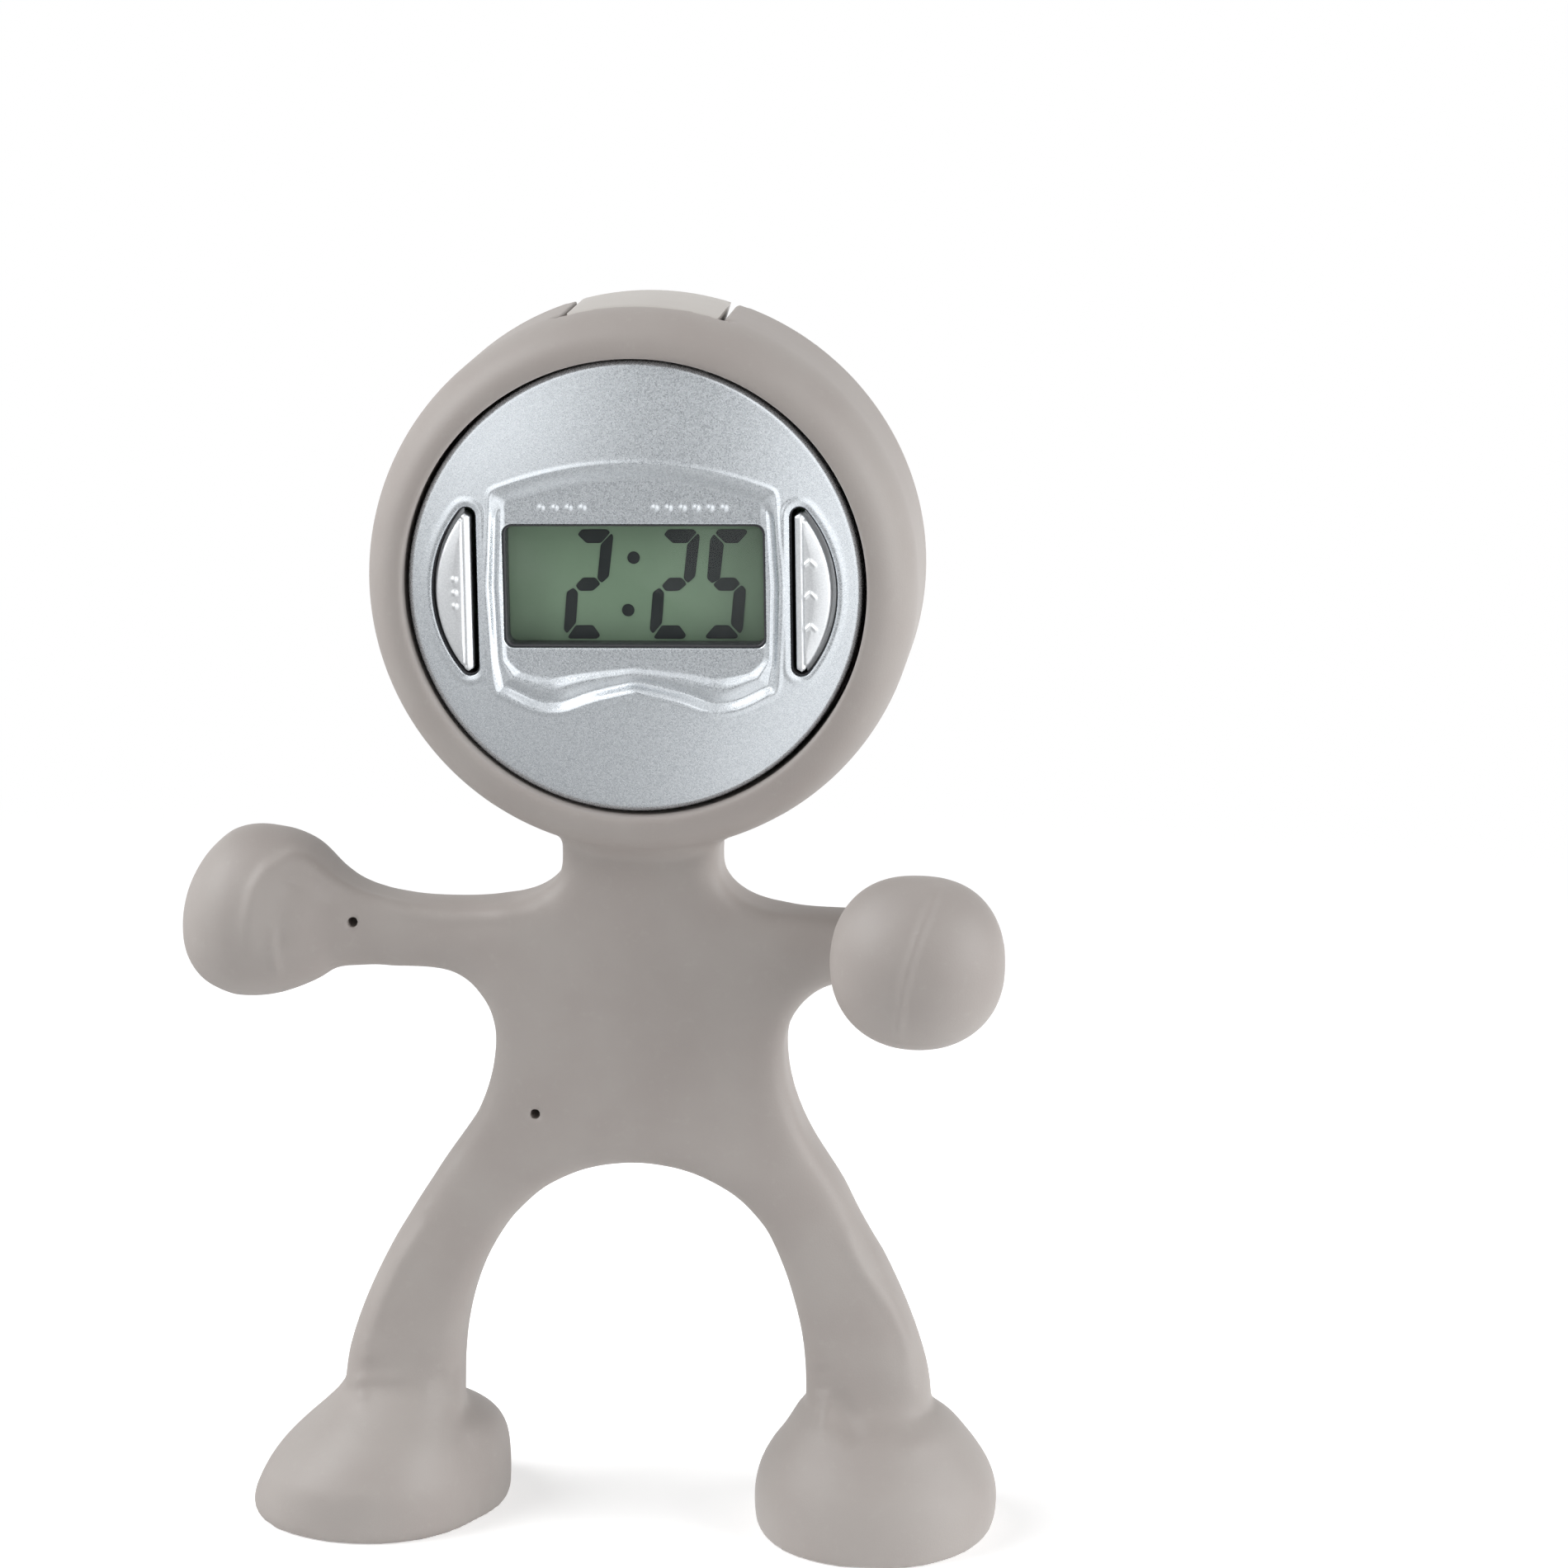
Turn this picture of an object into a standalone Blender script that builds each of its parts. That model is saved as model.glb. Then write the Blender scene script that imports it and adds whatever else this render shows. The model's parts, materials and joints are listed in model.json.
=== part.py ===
"""A bendable rubber figure whose head is a round digital clock.

The figure faces -Y and stands on Z = 0. A soft moulding over bent wires makes the head ring, neck, torso,
arms and legs. It is split at the shoulders and hips, where the limbs turn on rounded knuckles in hollow
sockets. The clock module sits in the head ring: a silver bezel in front, a rear shell with a grip tab
behind, and between them the display, the board, the buttons and a button cell.
"""

import math

import bmesh
import bpy
from mathutils import Matrix, Vector

# Overall sizes of the figure, in metres

ring_thickness = 0.00365     # between the bore and the outside of the head ring
head_front = 0.0082          # front lip of the ring, in front of the mid-plane
head_shoulder = 0.0030       # where the rounded front meets the side wall
head_back = 0.0080           # rear edge of the ring, behind the mid-plane
bore_ease = 0.0004           # the ring's bore is this much wider than the clock, all round
ring_edge_round = 0.0006     # small rounding of the ring's inner lip

neck_height = 0.00555        # from the top of the shoulders to the lowest point of the ring
neck_half_width = 0.0066
neck_fillet_width = 0.0059
neck_fillet_height = 0.0037
neck_flare_depth = 0.0062    # half depth of the neck where it runs into the ring
neck_set_back = 0.0002       # the neck's front and back lie this far behind those of the torso
neck_flare_width = 0.0086
neck_sink = 0.0030           # how far the neck runs up into the ring

torso_depth = 0.0074
torso_edge_round = 0.0023    # how far the soft edge of the torso reaches inward
shoulder_top = 0.0545
arm_thickness = 0.0062       # from the top of the shoulder to the underside of the arm
waist_half_width = 0.0122
armpit_width = 0.0052
armpit_height = 0.0055
hip_flare_height = 0.0075

ankle_height = 0.0122
ankle_outer = 0.0253         # outside of the ankle, from the middle of the figure
ankle_inner = 0.0151         # inside of the ankle
ankle_depth = 0.0084
crotch_below_waist = 0.0107
leg_sweep = 0.0069           # how far the outside of the leg leans in between ankle and hip
leg_depth = 0.0074
leg_reach_above_hip = 0.0046

foot_half_width = 0.0103
foot_half_length = 0.0115
left_foot_half_length = 0.0124
foot_back_shift = 0.0012
left_foot_back_shift = 0.0010
left_foot_shift = 0.0026
right_foot_shift = 0.0002
left_toe_turn = math.radians(-40)
right_toe_turn = math.radians(4)

arm_depth = 0.0066
left_fist_x = 0.0328         # middle of the left fist, from the middle of the figure
left_fist_rise = 0.0013      # middle of the fist above the middle of the arm
left_fist_half_height = 0.00755
left_fist_half_depth = 0.0066
left_fist_half_length = 0.0062
right_fist_x = 0.0240
right_fist_forward = 0.0145
right_fist_rise = 0.0024
right_fist_radius = 0.0071
right_fist_half_length = 0.0064

# Hinges of the limbs

shoulder_axis_x = 0.0165
hip_below_crotch = 0.0031
hip_axis_x = 0.0136
knuckle_ease = 0.0001        # knuckle radius over half the limb's depth
joint_gap = 0.0003
hip_knuckle_inner_x = 0.0075

# Armature wires

wire_radius = 0.0008
wire_end_x = 0.0022
leg_wire_top_x = 0.0046
leg_wire_top_rise = 0.0135   # above the hip axis
leg_wire_pin_x = 0.0086
leg_wire_pin_rise = 0.0077
leg_wire_foot_height = 0.0060
arm_pin_before_fist = 0.00875
arm_pin_rise = 0.0015
pin_hole_radius = 0.0005
leg_power = 2.7              # how square a limb is in section: 2 is an ellipse
arm_power = 3.2
fist_power = 2.1
wire_sleeve = 0.0003         # gap between a wire and the rubber round it

# Clock module: every depth is a Y value, front negative

clearance = 0.0003           # gap between pieces that touch on the real clock
overrun = 0.0010             # how far a cutter runs past what it cuts
merge_distance = 0.0000001   # points closer than this become one
module_turn = math.radians(1.6)   # the clock sits a little turned and low in its soft ring
module_shift_x = -0.00015
module_shift_up = -0.0001

face_front = -0.0079
face_thickness = 0.0017
bezel_radius = 0.0186
bezel_wall = 0.0011
bezel_skirt_back = -0.0010
bezel_edge_round = 0.0004
panel_recess = 0.0005
panel_half_width = 0.0120
panel_corner_width = 0.0116
panel_corner_up = 0.0078
panel_apex_up = 0.0101
panel_corner_down = 0.0083
panel_lobe_x = 0.0071
panel_lobe_down = 0.0103
panel_notch_down = 0.0086
rim_width = 0.0005
rim_height = 0.0003

window_half_width = 0.01075
window_half_height = 0.0051
window_corner = 0.0008
window_inset = 0.0009        # the lens lies this far behind the face
window_flange = 0.0010
window_flange_thickness = 0.0008

button_inner_x = 0.0128      # straight side of the pocket
button_outer_x = 0.0166      # crown of its curved side
button_bow_radius = 0.0106   # radius of that curved side
button_corner = 0.0008
button_up = -0.0004          # middle of the buttons, from the head axis
button_gap = 0.00045
button_proud = 0.0006
button_flange = 0.0005
button_flange_thickness = 0.0008
button_stem_x = 0.0149
button_stem_radius = 0.0011
button_travel = 0.0008
button_crown = 0.0004

lcd_half_width = 0.0120
lcd_half_height = 0.0067
lcd_thickness = 0.0020
lcd_frame_wall = 0.00055
lcd_frame_margin = 0.0015
lcd_ledge = 0.0005

zebra_half_length = 0.0108
zebra_half_height = 0.0009
zebra_down = 0.0054

board_front = -0.0006
board_thickness = 0.0010
board_margin = 0.0009        # between the board and the wall of the bezel
pad_radius = 0.0021
pad_height = 0.0011
pad_tip_radius = 0.0013

chip_x = -0.0056
chip_up = 0.0072
chip_radius = 0.0034
chip_height = 0.0014
crystal_x = 0.0052
crystal_up = 0.0074
crystal_radius = 0.0010
crystal_length = 0.0060

case_back = 0.0078
case_plate = 0.0013
case_wall = 0.0011
tab_half_angle = math.radians(16.5)
tab_set_down = 0.00015       # the tab's crown below that of the ring
tab_front = -0.0031
slot_relief_radius = 0.0006

cell_radius = 0.0058
cell_height = 0.00305
cell_front = 0.0021
cell_up = -0.0045
cell_step = 0.0005
well_wall = 0.0008
well_radius = 0.0076

door_flange_radius = 0.0070
door_flange_thickness = 0.0006
door_neck_radius = 0.0061
door_lug_radius = 0.0069
door_lug_thickness = 0.0008
door_lug_half_angle = math.radians(12)
door_notch_half_angle = math.radians(16)
door_turn = math.radians(45)
coin_slot_length = 0.0088
coin_slot_width = 0.0013
coin_slot_depth = 0.0009

contact_thickness = 0.00025
contact_width = 0.0030
contact_length = 0.0070
contact_rise = 0.0007
side_contact_height = 0.0038
contact_foot = 0.0010

screw_x = 0.0084
screw_up = 0.0120
screw_shank_radius = 0.00075
screw_head_radius = 0.0015
screw_head_height = 0.0007
screw_tip = -0.0046
screw_head_recess = 0.0002
post_radius = 0.0021
board_hole_radius = 0.0011

# Places worked out from the sizes above

bore_radius = bezel_radius + bore_ease
head_radius = bore_radius + ring_thickness
head_height = shoulder_top + neck_height + head_radius   # head axis above the floor
arm_bottom = shoulder_top - arm_thickness
waist_height = arm_bottom - armpit_height
crotch_height = waist_height - crotch_below_waist
hip_axis_height = crotch_height - hip_below_crotch
leg_wire_top_height = hip_axis_height + leg_wire_top_rise
leg_wire_pin_height = hip_axis_height + leg_wire_pin_rise
tab_middle = module_turn     # the tab and its slot stay upright in the ring
tab_radius = head_radius - tab_set_down
board_radius = bezel_radius - bezel_wall - board_margin
arm_pin_x = left_fist_x - arm_pin_before_fist
shoulder_axis_height = shoulder_top - arm_thickness / 2
left_fist_height = shoulder_axis_height + left_fist_rise
right_fist_height = shoulder_axis_height + right_fist_rise
arm_pin_height = shoulder_axis_height + arm_pin_rise
face_back = face_front + face_thickness
window_front = face_front + window_inset
window_flange_front = face_back + clearance
lcd_front = window_flange_front + window_flange_thickness + clearance
lcd_back = lcd_front + lcd_thickness
board_back = board_front + board_thickness
case_front = bezel_skirt_back + clearance
case_inside = case_back - case_plate
cell_back = cell_front + cell_height
button_front = face_front - button_proud
button_stem_end = board_front - clearance - pad_height - button_travel - clearance
hip_knuckle_radius = leg_depth / 2 + knuckle_ease
shoulder_knuckle_radius = arm_depth / 2 + knuckle_ease

left_reach = left_fist_x + left_fist_half_length
right_reach = right_fist_x + right_fist_radius
front_reach = right_fist_forward + right_fist_half_length
back_reach = foot_half_length + foot_back_shift
middle_x = (right_reach - left_reach) / 2
middle_y = (back_reach - front_reach) / 2


def smooth_step(share):
    """Ease a share between 0 and 1."""
    share = min(max(share, 0.0), 1.0)
    return share * share * (3 - 2 * share)


def spline(points, steps):
    """Points along a smooth curve through the given ones, steps to each stretch."""
    ends = [[2 * a - b for a, b in zip(points[0], points[1])]]
    ends_after = [[2 * a - b for a, b in zip(points[-1], points[-2])]]
    padded = ends + [list(point) for point in points] + ends_after
    curve = []
    for index in range(1, len(padded) - 2):
        before, start, end, after = padded[index - 1:index + 3]
        for step in range(steps):
            t = step / steps
            curve.append([
                (2 * b + (c - a) * t + (2 * a - 5 * b + 4 * c - d) * t * t
                 + (3 * b - a - 3 * c + d) * t ** 3) / 2
                for a, b, c, d in zip(before, start, end, after)
            ])
    curve.append(list(points[-1]))
    return curve


def oval(half_a, half_b, power, count):
    """A closed rounded outline: power 2 is an ellipse, higher powers are squarer."""
    points = []
    for index in range(count):
        angle = 2 * math.pi * index / count
        c, s = math.cos(angle), math.sin(angle)
        points.append((
            half_a * math.copysign(abs(c) ** (2 / power), c),
            half_b * math.copysign(abs(s) ** (2 / power), s),
        ))
    return points


def arc(centre_x, centre_z, radius_x, radius_z, start, end, count):
    """Points on part of an ellipse, angles in degrees."""
    points = []
    for index in range(count + 1):
        angle = math.radians(start + (end - start) * index / count)
        points.append((centre_x + radius_x * math.cos(angle), centre_z + radius_z * math.sin(angle)))
    return points


def finish(name, mesh_data, surface):
    """Make an object in the figure's frame from a bmesh, with its faces pointing out."""
    bmesh.ops.remove_doubles(mesh_data, verts=mesh_data.verts, dist=merge_distance)
    bmesh.ops.recalc_face_normals(mesh_data, faces=mesh_data.faces)
    mesh = bpy.data.meshes.new(name)
    mesh_data.to_mesh(mesh)
    mesh_data.free()
    if surface:
        mesh.materials.append(surface)
    thing = bpy.data.objects.new(name, mesh)
    bpy.context.scene.collection.objects.link(thing)
    return thing


def loft(name, sections, surface=None):
    """Skin a row of closed sections that all have the same number of points."""
    made = bmesh.new()
    rings = [[made.verts.new(point) for point in section] for section in sections]
    for low, high in zip(rings, rings[1:]):
        for index in range(len(low)):
            after = (index + 1) % len(low)
            made.faces.new((low[index], low[after], high[after], high[index]))
    made.faces.new(rings[0])
    made.faces.new(rings[-1])
    return finish(name, made, surface)


def prism(name, outline, front, back, surface=None):
    """Extrude an outline of X and height above the head axis between two depths."""
    sections = [[(x, y, head_height + up) for x, up in outline] for y in (front, back)]
    return loft(name, sections, surface)


def turned(name, profile, count, surface=None, x=0, up=0):
    """Turn a closed profile of radius and depth about an axis along Y."""
    made = bmesh.new()
    rings = []
    for radius, depth in profile:
        if radius == 0:
            rings.append([made.verts.new((x, depth, head_height + up))])
            continue
        rings.append([
            made.verts.new((
                x + radius * math.sin(2 * math.pi * index / count),
                depth,
                head_height + up + radius * math.cos(2 * math.pi * index / count),
            ))
            for index in range(count)
        ])
    for low, high in zip(rings, rings[1:] + rings[:1]):
        if len(low) == 1 and len(high) == 1:
            continue
        for index in range(count):
            after = (index + 1) % count
            if len(low) == 1:
                made.faces.new((low[0], high[after], high[index]))
            elif len(high) == 1:
                made.faces.new((low[index], low[after], high[0]))
            else:
                made.faces.new((low[index], low[after], high[after], high[index]))
    return finish(name, made, surface)


def disc(name, radius, front, back, count, surface=None, x=0, up=0):
    """A round plate or rod along Y."""
    return turned(name, [(0, front), (radius, front), (radius, back), (0, back)], count, surface, x, up)


def tube_along(name, route, radius, count, surface=None):
    """A round bar along a row of points in the figure's frame."""
    sections = []
    points = [Vector(point) for point in route]
    side = Vector((0, 1, 0))
    for index, point in enumerate(points):
        ahead = points[min(index + 1, len(points) - 1)] - points[max(index - 1, 0)]
        ahead.normalize()
        side = (side - ahead * side.dot(ahead)).normalized()
        other = ahead.cross(side)
        sections.append([
            point + side * (radius * math.cos(2 * math.pi * k / count))
            + other * (radius * math.sin(2 * math.pi * k / count))
            for k in range(count)
        ])
    return loft(name, sections, surface)


def block(name, low, high, surface=None):
    """A box between two corners in the figure's frame."""
    outline = [(low[0], low[2]), (high[0], low[2]), (high[0], high[2]), (low[0], high[2])]
    return loft(name, [[(x, y, z) for x, z in outline] for y in (low[1], high[1])], surface)


def combine(thing, tools, operation):
    """Join or cut with other solids in one step, which uses them up."""
    group = bpy.data.collections.new("tools")
    for tool in tools:
        group.objects.link(tool)
    modifier = thing.modifiers.new(operation.lower(), "BOOLEAN")
    modifier.operand_type = "COLLECTION"
    modifier.collection = group
    modifier.operation = operation
    modifier.solver = "EXACT"
    graph = bpy.context.evaluated_depsgraph_get()
    mesh = bpy.data.meshes.new_from_object(thing.evaluated_get(graph))
    thing.modifiers.remove(modifier)
    thing.data = mesh
    for tool in tools:
        bpy.data.objects.remove(tool)
    bpy.data.collections.remove(group)
    return thing


def fuse(thing, *tools):
    return combine(thing, tools, "UNION")


def cut(thing, *tools):
    return combine(thing, tools, "DIFFERENCE")


def keep(thing, tool):
    return combine(thing, [tool], "INTERSECT")


def place(thing, parent, origin=(0, 0, 0), smooth_angle=35):
    """Shade round faces smooth, put the origin where the piece turns and hang it on its parent."""
    mesh = thing.data
    mesh.shade_smooth()
    mesh.set_sharp_from_angle(angle=math.radians(smooth_angle))
    mesh.transform(Matrix.Translation(-Vector(origin)))
    thing.parent = parent
    thing.location = origin
    return thing


def module_move():
    """From the head axis to where the clock really sits in its ring."""
    head = Vector((0, 0, head_height))
    shift = Vector((module_shift_x, 0, module_shift_up))
    turn = Matrix.Rotation(-module_turn, 4, "Y")
    return Matrix.Translation(head + shift) @ turn @ Matrix.Translation(-head)


def place_module(thing, parent, origin=None):
    """Place a piece of the clock: origin is its own axis if it moves."""
    thing.data.transform(module_move())
    return place(thing, parent, module_move() @ Vector(origin) if origin else (0, 0, 0))


def surface(name, colour, roughness, metallic=0.0, alpha=1.0):
    """A plain Principled material."""
    made = bpy.data.materials.new(name)
    made.use_nodes = True
    shader = made.node_tree.nodes["Principled BSDF"]
    shader.inputs["Base Color"].default_value = (*colour, 1)
    shader.inputs["Roughness"].default_value = roughness
    shader.inputs["Metallic"].default_value = metallic
    shader.inputs["Alpha"].default_value = alpha
    return made


# Outlines of the legs, shared by the torso and the leg

def leg_inner(height):
    """Inside of the leg: half an arch that stands on the ankles and closes at the crotch."""
    share = min(max((height - ankle_height) / (crotch_height - ankle_height), 0), 1)
    arch_power = 2.15
    return ankle_inner * (1 - share ** arch_power) ** (1 / arch_power)


def leg_outer(height):
    """Outside of the leg: upright at the ankle, leaning in towards the hip."""
    share = max((height - ankle_height) / (hip_axis_height - ankle_height), 0)
    lean_power = 1.5
    return ankle_outer - leg_sweep * share ** lean_power


# Rubber figure

def torso_half_outline():
    """Right half of the torso seen from the front, from the neck down to the crotch."""
    neck_top = head_height - head_radius + neck_sink / 2
    flare_end = waist_height - hip_flare_height
    leg_stub_share = 1.5
    arm_stub_share = 1.6
    leg_end = hip_axis_height - leg_stub_share * hip_knuckle_radius
    stub_end = shoulder_axis_x + arm_stub_share * shoulder_knuckle_radius
    points = [(neck_half_width, neck_top)]
    points += arc(neck_half_width + neck_fillet_width, shoulder_top + neck_fillet_height,
                  neck_fillet_width, neck_fillet_height, 180, 270, 6)
    points += [(stub_end, shoulder_top), (stub_end, arm_bottom)]
    points += arc(waist_half_width + armpit_width, waist_height,
                  armpit_width, armpit_height, 90, 180, 6)
    flare_width = leg_outer(flare_end) - waist_half_width
    for share in (0.25, 0.5, 0.75, 1.0):
        points.append((waist_half_width + flare_width * share ** 2,
                       waist_height - hip_flare_height * share))
    for share in (0.3, 0.6, 1.0):
        height = flare_end + (leg_end - flare_end) * share
        points.append((leg_outer(height), height))
    for share in (0.0, 0.4, 0.64, 0.8, 0.91, 0.975):
        height = leg_end + (crotch_height - leg_end) * share
        points.append((leg_inner(height), height))
    return points


def torso():
    """Flat torso with soft edges, lofted from insets of its outline."""
    half = torso_half_outline()
    outline = half + [(0, crotch_height)] + [(-x, z) for x, z in reversed(half)]
    count = len(outline)
    normals = []
    for index in range(count):
        (ax, az), (bx, bz) = outline[index - 1], outline[(index + 1) % count]
        along = Vector((bx - ax, bz - az)).normalized()
        normals.append((along.y, -along.x))
    edge_shares = [(-1.0, 1.0), (-0.95, 0.45), (-0.82, 0.15), (-0.5, 0.0)]
    edge_shares += [(-y, inset) for y, inset in reversed(edge_shares)]
    sections = []
    for depth_share, inset_share in edge_shares:
        inset = torso_edge_round * inset_share
        ring = []
        for (x, z), (nx, nz) in zip(outline, normals):
            ring.append((x + nx * inset, depth_share * torso_depth / 2, z + nz * inset))
        sections.append(ring)
    return loft("rubber_body", sections, rubber)


def neck():
    """The neck widens where it runs up into the ring."""
    low = shoulder_top - neck_fillet_height
    base = head_height - head_radius
    inner_half_width, inner_half_depth = neck_half_width - neck_set_back, torso_depth / 2 - neck_set_back
    stations = [
        (low, inner_half_width, inner_half_depth),
        (shoulder_top + neck_fillet_height, inner_half_width, inner_half_depth),
        (base, inner_half_width, (torso_depth / 2 + neck_flare_depth) / 2),
        (base + neck_sink / 2, neck_flare_width, neck_flare_depth),
        (base + neck_sink, neck_flare_width, neck_flare_depth),
    ]
    sections = []
    for z, half_width, half_depth in spline(stations, 3):
        sections.append([(x, y, z) for x, y in oval(half_width, half_depth, 3.2, 28)])
    return loft("neck", sections, rubber)


def head_ring():
    """Thick ring with a rounded front that bulges out to a straight side wall."""
    wall = head_radius - bore_radius
    crown = head_front - head_shoulder
    lip_share, back_share = 0.35, 0.6
    profile = [
        (bore_radius, -head_front + ring_edge_round),
        (bore_radius + ring_edge_round * lip_share, -head_front + ring_edge_round * lip_share),
        (bore_radius + ring_edge_round, -head_front),
    ]
    bulge_power = 0.9
    for turn in (18, 36, 54, 72, 90):
        angle = math.radians(turn)
        profile.append((
            bore_radius + ring_edge_round + (wall - ring_edge_round) * math.sin(angle) ** bulge_power,
            -head_front + crown * (1 - math.cos(angle)),
        ))
    profile += [
        (head_radius, head_back - ring_edge_round * 2),
        (head_radius - ring_edge_round * back_share, head_back - ring_edge_round * back_share),
        (head_radius - ring_edge_round * 2, head_back),
        (bore_radius, head_back),
    ]
    return turned("head_ring", profile, 68, rubber)


def sector(name, inner, outer, half_angle, front, back, count, middle=0.0, x=0, up=0):
    """Part of a ring between two radii, centred on an angle from straight up."""
    outline = []
    for radius, turns in ((inner, range(count + 1)), (outer, range(count, -1, -1))):
        for index in turns:
            angle = middle - half_angle + 2 * half_angle * index / count
            outline.append((x + radius * math.sin(angle), up + radius * math.cos(angle)))
    return prism(name, outline, front, back)


def tab_slot():
    """Cut-out on top of the ring, open at the back, with round reliefs in its front corners."""
    gap_angle = clearance / tab_radius
    tools = [sector("slot", bore_radius - overrun, head_radius + overrun, tab_half_angle + gap_angle,
                    tab_front - clearance, head_back + overrun, 10, tab_middle)]
    relief_share = 0.98
    for side in (-1, 1):
        angle = tab_middle + side * (tab_half_angle + gap_angle) * relief_share
        direction = Vector((math.sin(angle), 0, math.cos(angle)))
        start = Vector((0, tab_front, head_height)) + direction * (bore_radius - overrun)
        end = Vector((0, tab_front, head_height)) + direction * (head_radius + overrun)
        tools.append(tube_along("relief", [start, end], slot_relief_radius, 9))
    for tool in tools:
        tool.data.transform(module_move())
    return tools


def arm_wire_route(side):
    """The wire runs level out of the chest and along the middle of the arm."""
    if side < 0:
        return spline([
            (-wire_end_x, 0, shoulder_axis_height),
            (-shoulder_axis_x, 0, shoulder_axis_height),
            (-arm_pin_x, 0, arm_pin_height),
            (-left_fist_x, 0, left_fist_height),
        ], 3)
    middle = [point[:3] for point in right_arm_stations()]
    return spline([(wire_end_x, 0, shoulder_axis_height)] + middle[2:-3:2], 2)


def leg_wire_route(side):
    """The wire runs from the belly through the hip down into the foot."""
    knee_height = (hip_axis_height + ankle_height) / 2
    route = [
        (leg_wire_top_x, 0, leg_wire_top_height),
        (leg_wire_pin_x, 0, leg_wire_pin_height),
        (hip_axis_x, 0, hip_axis_height),
        ((leg_inner(knee_height) + leg_outer(knee_height)) / 2, 0, knee_height),
        ((ankle_inner + ankle_outer) / 2, 0, ankle_height),
        ((ankle_inner + ankle_outer) / 2, 0, leg_wire_foot_height),
    ]
    return spline([(side * x, y, z) for x, y, z in route], 3)


def bore_for(route, name):
    """The hollow round a wire, a little longer at both ends."""
    first, second = Vector(route[0]), Vector(route[1])
    last, before = Vector(route[-1]), Vector(route[-2])
    start = first + (first - second).normalized() * wire_sleeve
    end = last + (last - before).normalized() * wire_sleeve
    return tube_along(name, [start] + route + [end], wire_radius + wire_sleeve, 8)


def pin_hole(x, height, depth):
    """Small hole left in the front by the pin that held the wire in the mould."""
    return disc("pin_hole", pin_hole_radius, -depth / 2 - overrun, 0, 10, None, x, height - head_height)


def left_arm_stations():
    """Places along the left arm: X, middle height, half height and half depth."""
    arm_middle, arm_half = shoulder_axis_height, arm_thickness / 2
    wrist_middle = (arm_middle + left_fist_height) / 2
    fist_start = left_fist_x - left_fist_half_length
    half_length, half_height = left_fist_half_length, left_fist_half_height
    half_depth = left_fist_half_depth
    arm_shares = [0.0, 0.45]
    places = [(shoulder_axis_x - 2 * shoulder_knuckle_radius, arm_middle, arm_half, arm_depth / 2)]
    for share in arm_shares:
        places.append((shoulder_axis_x + share * (fist_start - shoulder_axis_x), arm_middle, arm_half,
                       arm_depth / 2))
    wrist_shares = [(-0.30, 1.06, 1.02), (0.0, 1.35, 1.12)]
    for along, high, deep in wrist_shares:
        places.append((fist_start + along * half_length, wrist_middle, high * arm_half,
                       deep * arm_depth / 2))
    fist_shares = [(-0.75, 0.78, 0.74), (-0.50, 0.93, 0.92), (-0.10, 1.0, 1.0), (0.35, 0.95, 0.95),
                   (0.68, 0.75, 0.74), (0.90, 0.46, 0.46), (1.0, 0.10, 0.10)]
    for along, high, deep in fist_shares:
        places.append((left_fist_x + along * half_length, left_fist_height, high * half_height,
                       deep * half_depth))
    return places


def left_arm():
    """Straight arm that swells into a ball fist."""
    sections = []
    for x, middle, half_height, half_depth in spline(left_arm_stations(), 2):
        roundness = smooth_step((x - arm_pin_x) / (left_fist_x - arm_pin_x))
        power = arm_power + (fist_power - arm_power) * roundness
        sections.append([(-x, y, middle + z) for y, z in oval(half_depth, half_height, power, 20)])
    return loft("left_arm", sections, rubber)


def right_arm_stations():
    """Places along the right arm: X, Y, height, half height and half depth."""
    arm_middle, arm_half = shoulder_axis_height, arm_thickness / 2
    bend_x = right_fist_x - shoulder_axis_x
    rise = right_fist_height - arm_middle
    radius, half_length = right_fist_radius, right_fist_half_length
    places = []
    for knuckles in (2, 1, 0):
        places.append((shoulder_axis_x - knuckles * shoulder_knuckle_radius, 0, arm_middle, arm_half,
                       arm_depth / 2))
    path_shares = [(0.55, -0.10, 0.15), (0.92, -0.27, 0.35), (1.06, -0.44, 0.60)]
    for x_share, y_share, rise_share in path_shares:
        places.append((shoulder_axis_x + bend_x * x_share, right_fist_forward * y_share,
                       arm_middle + rise * rise_share, arm_half, arm_depth / 2))
    ball_shares = [(-0.80, 0.62, 0.60), (-0.50, 0.88, 0.87), (0.0, 1.0, 1.0), (0.42, 0.92, 0.92),
                   (0.74, 0.68, 0.68), (0.93, 0.39, 0.39), (1.0, 0.10, 0.10)]
    for along, high, deep in ball_shares:
        places.append((right_fist_x, -right_fist_forward - half_length * along,
                       right_fist_height, radius * high, radius * deep))
    return places


def right_arm():
    """Arm that curls forward and ends in a ball fist."""
    wrist_share = 0.6
    stations = spline(right_arm_stations(), 2)
    sections = []
    for index, (x, y, middle, half_height, half_depth) in enumerate(stations):
        ahead_place = stations[min(index + 1, len(stations) - 1)]
        behind_place = stations[max(index - 1, 0)]
        ahead = Vector((ahead_place[0] - behind_place[0], ahead_place[1] - behind_place[1], 0)).normalized()
        across = Vector((-ahead.y, ahead.x, 0))
        roundness = smooth_step(fist_power * index / len(stations) - wrist_share)
        power = arm_power + (fist_power - arm_power) * roundness
        sections.append([
            Vector((x, y, middle)) + across * a + Vector((0, 0, b))
            for a, b in oval(half_depth, half_height, power, 20)
        ])
    return loft("right_arm", sections, rubber)


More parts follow.
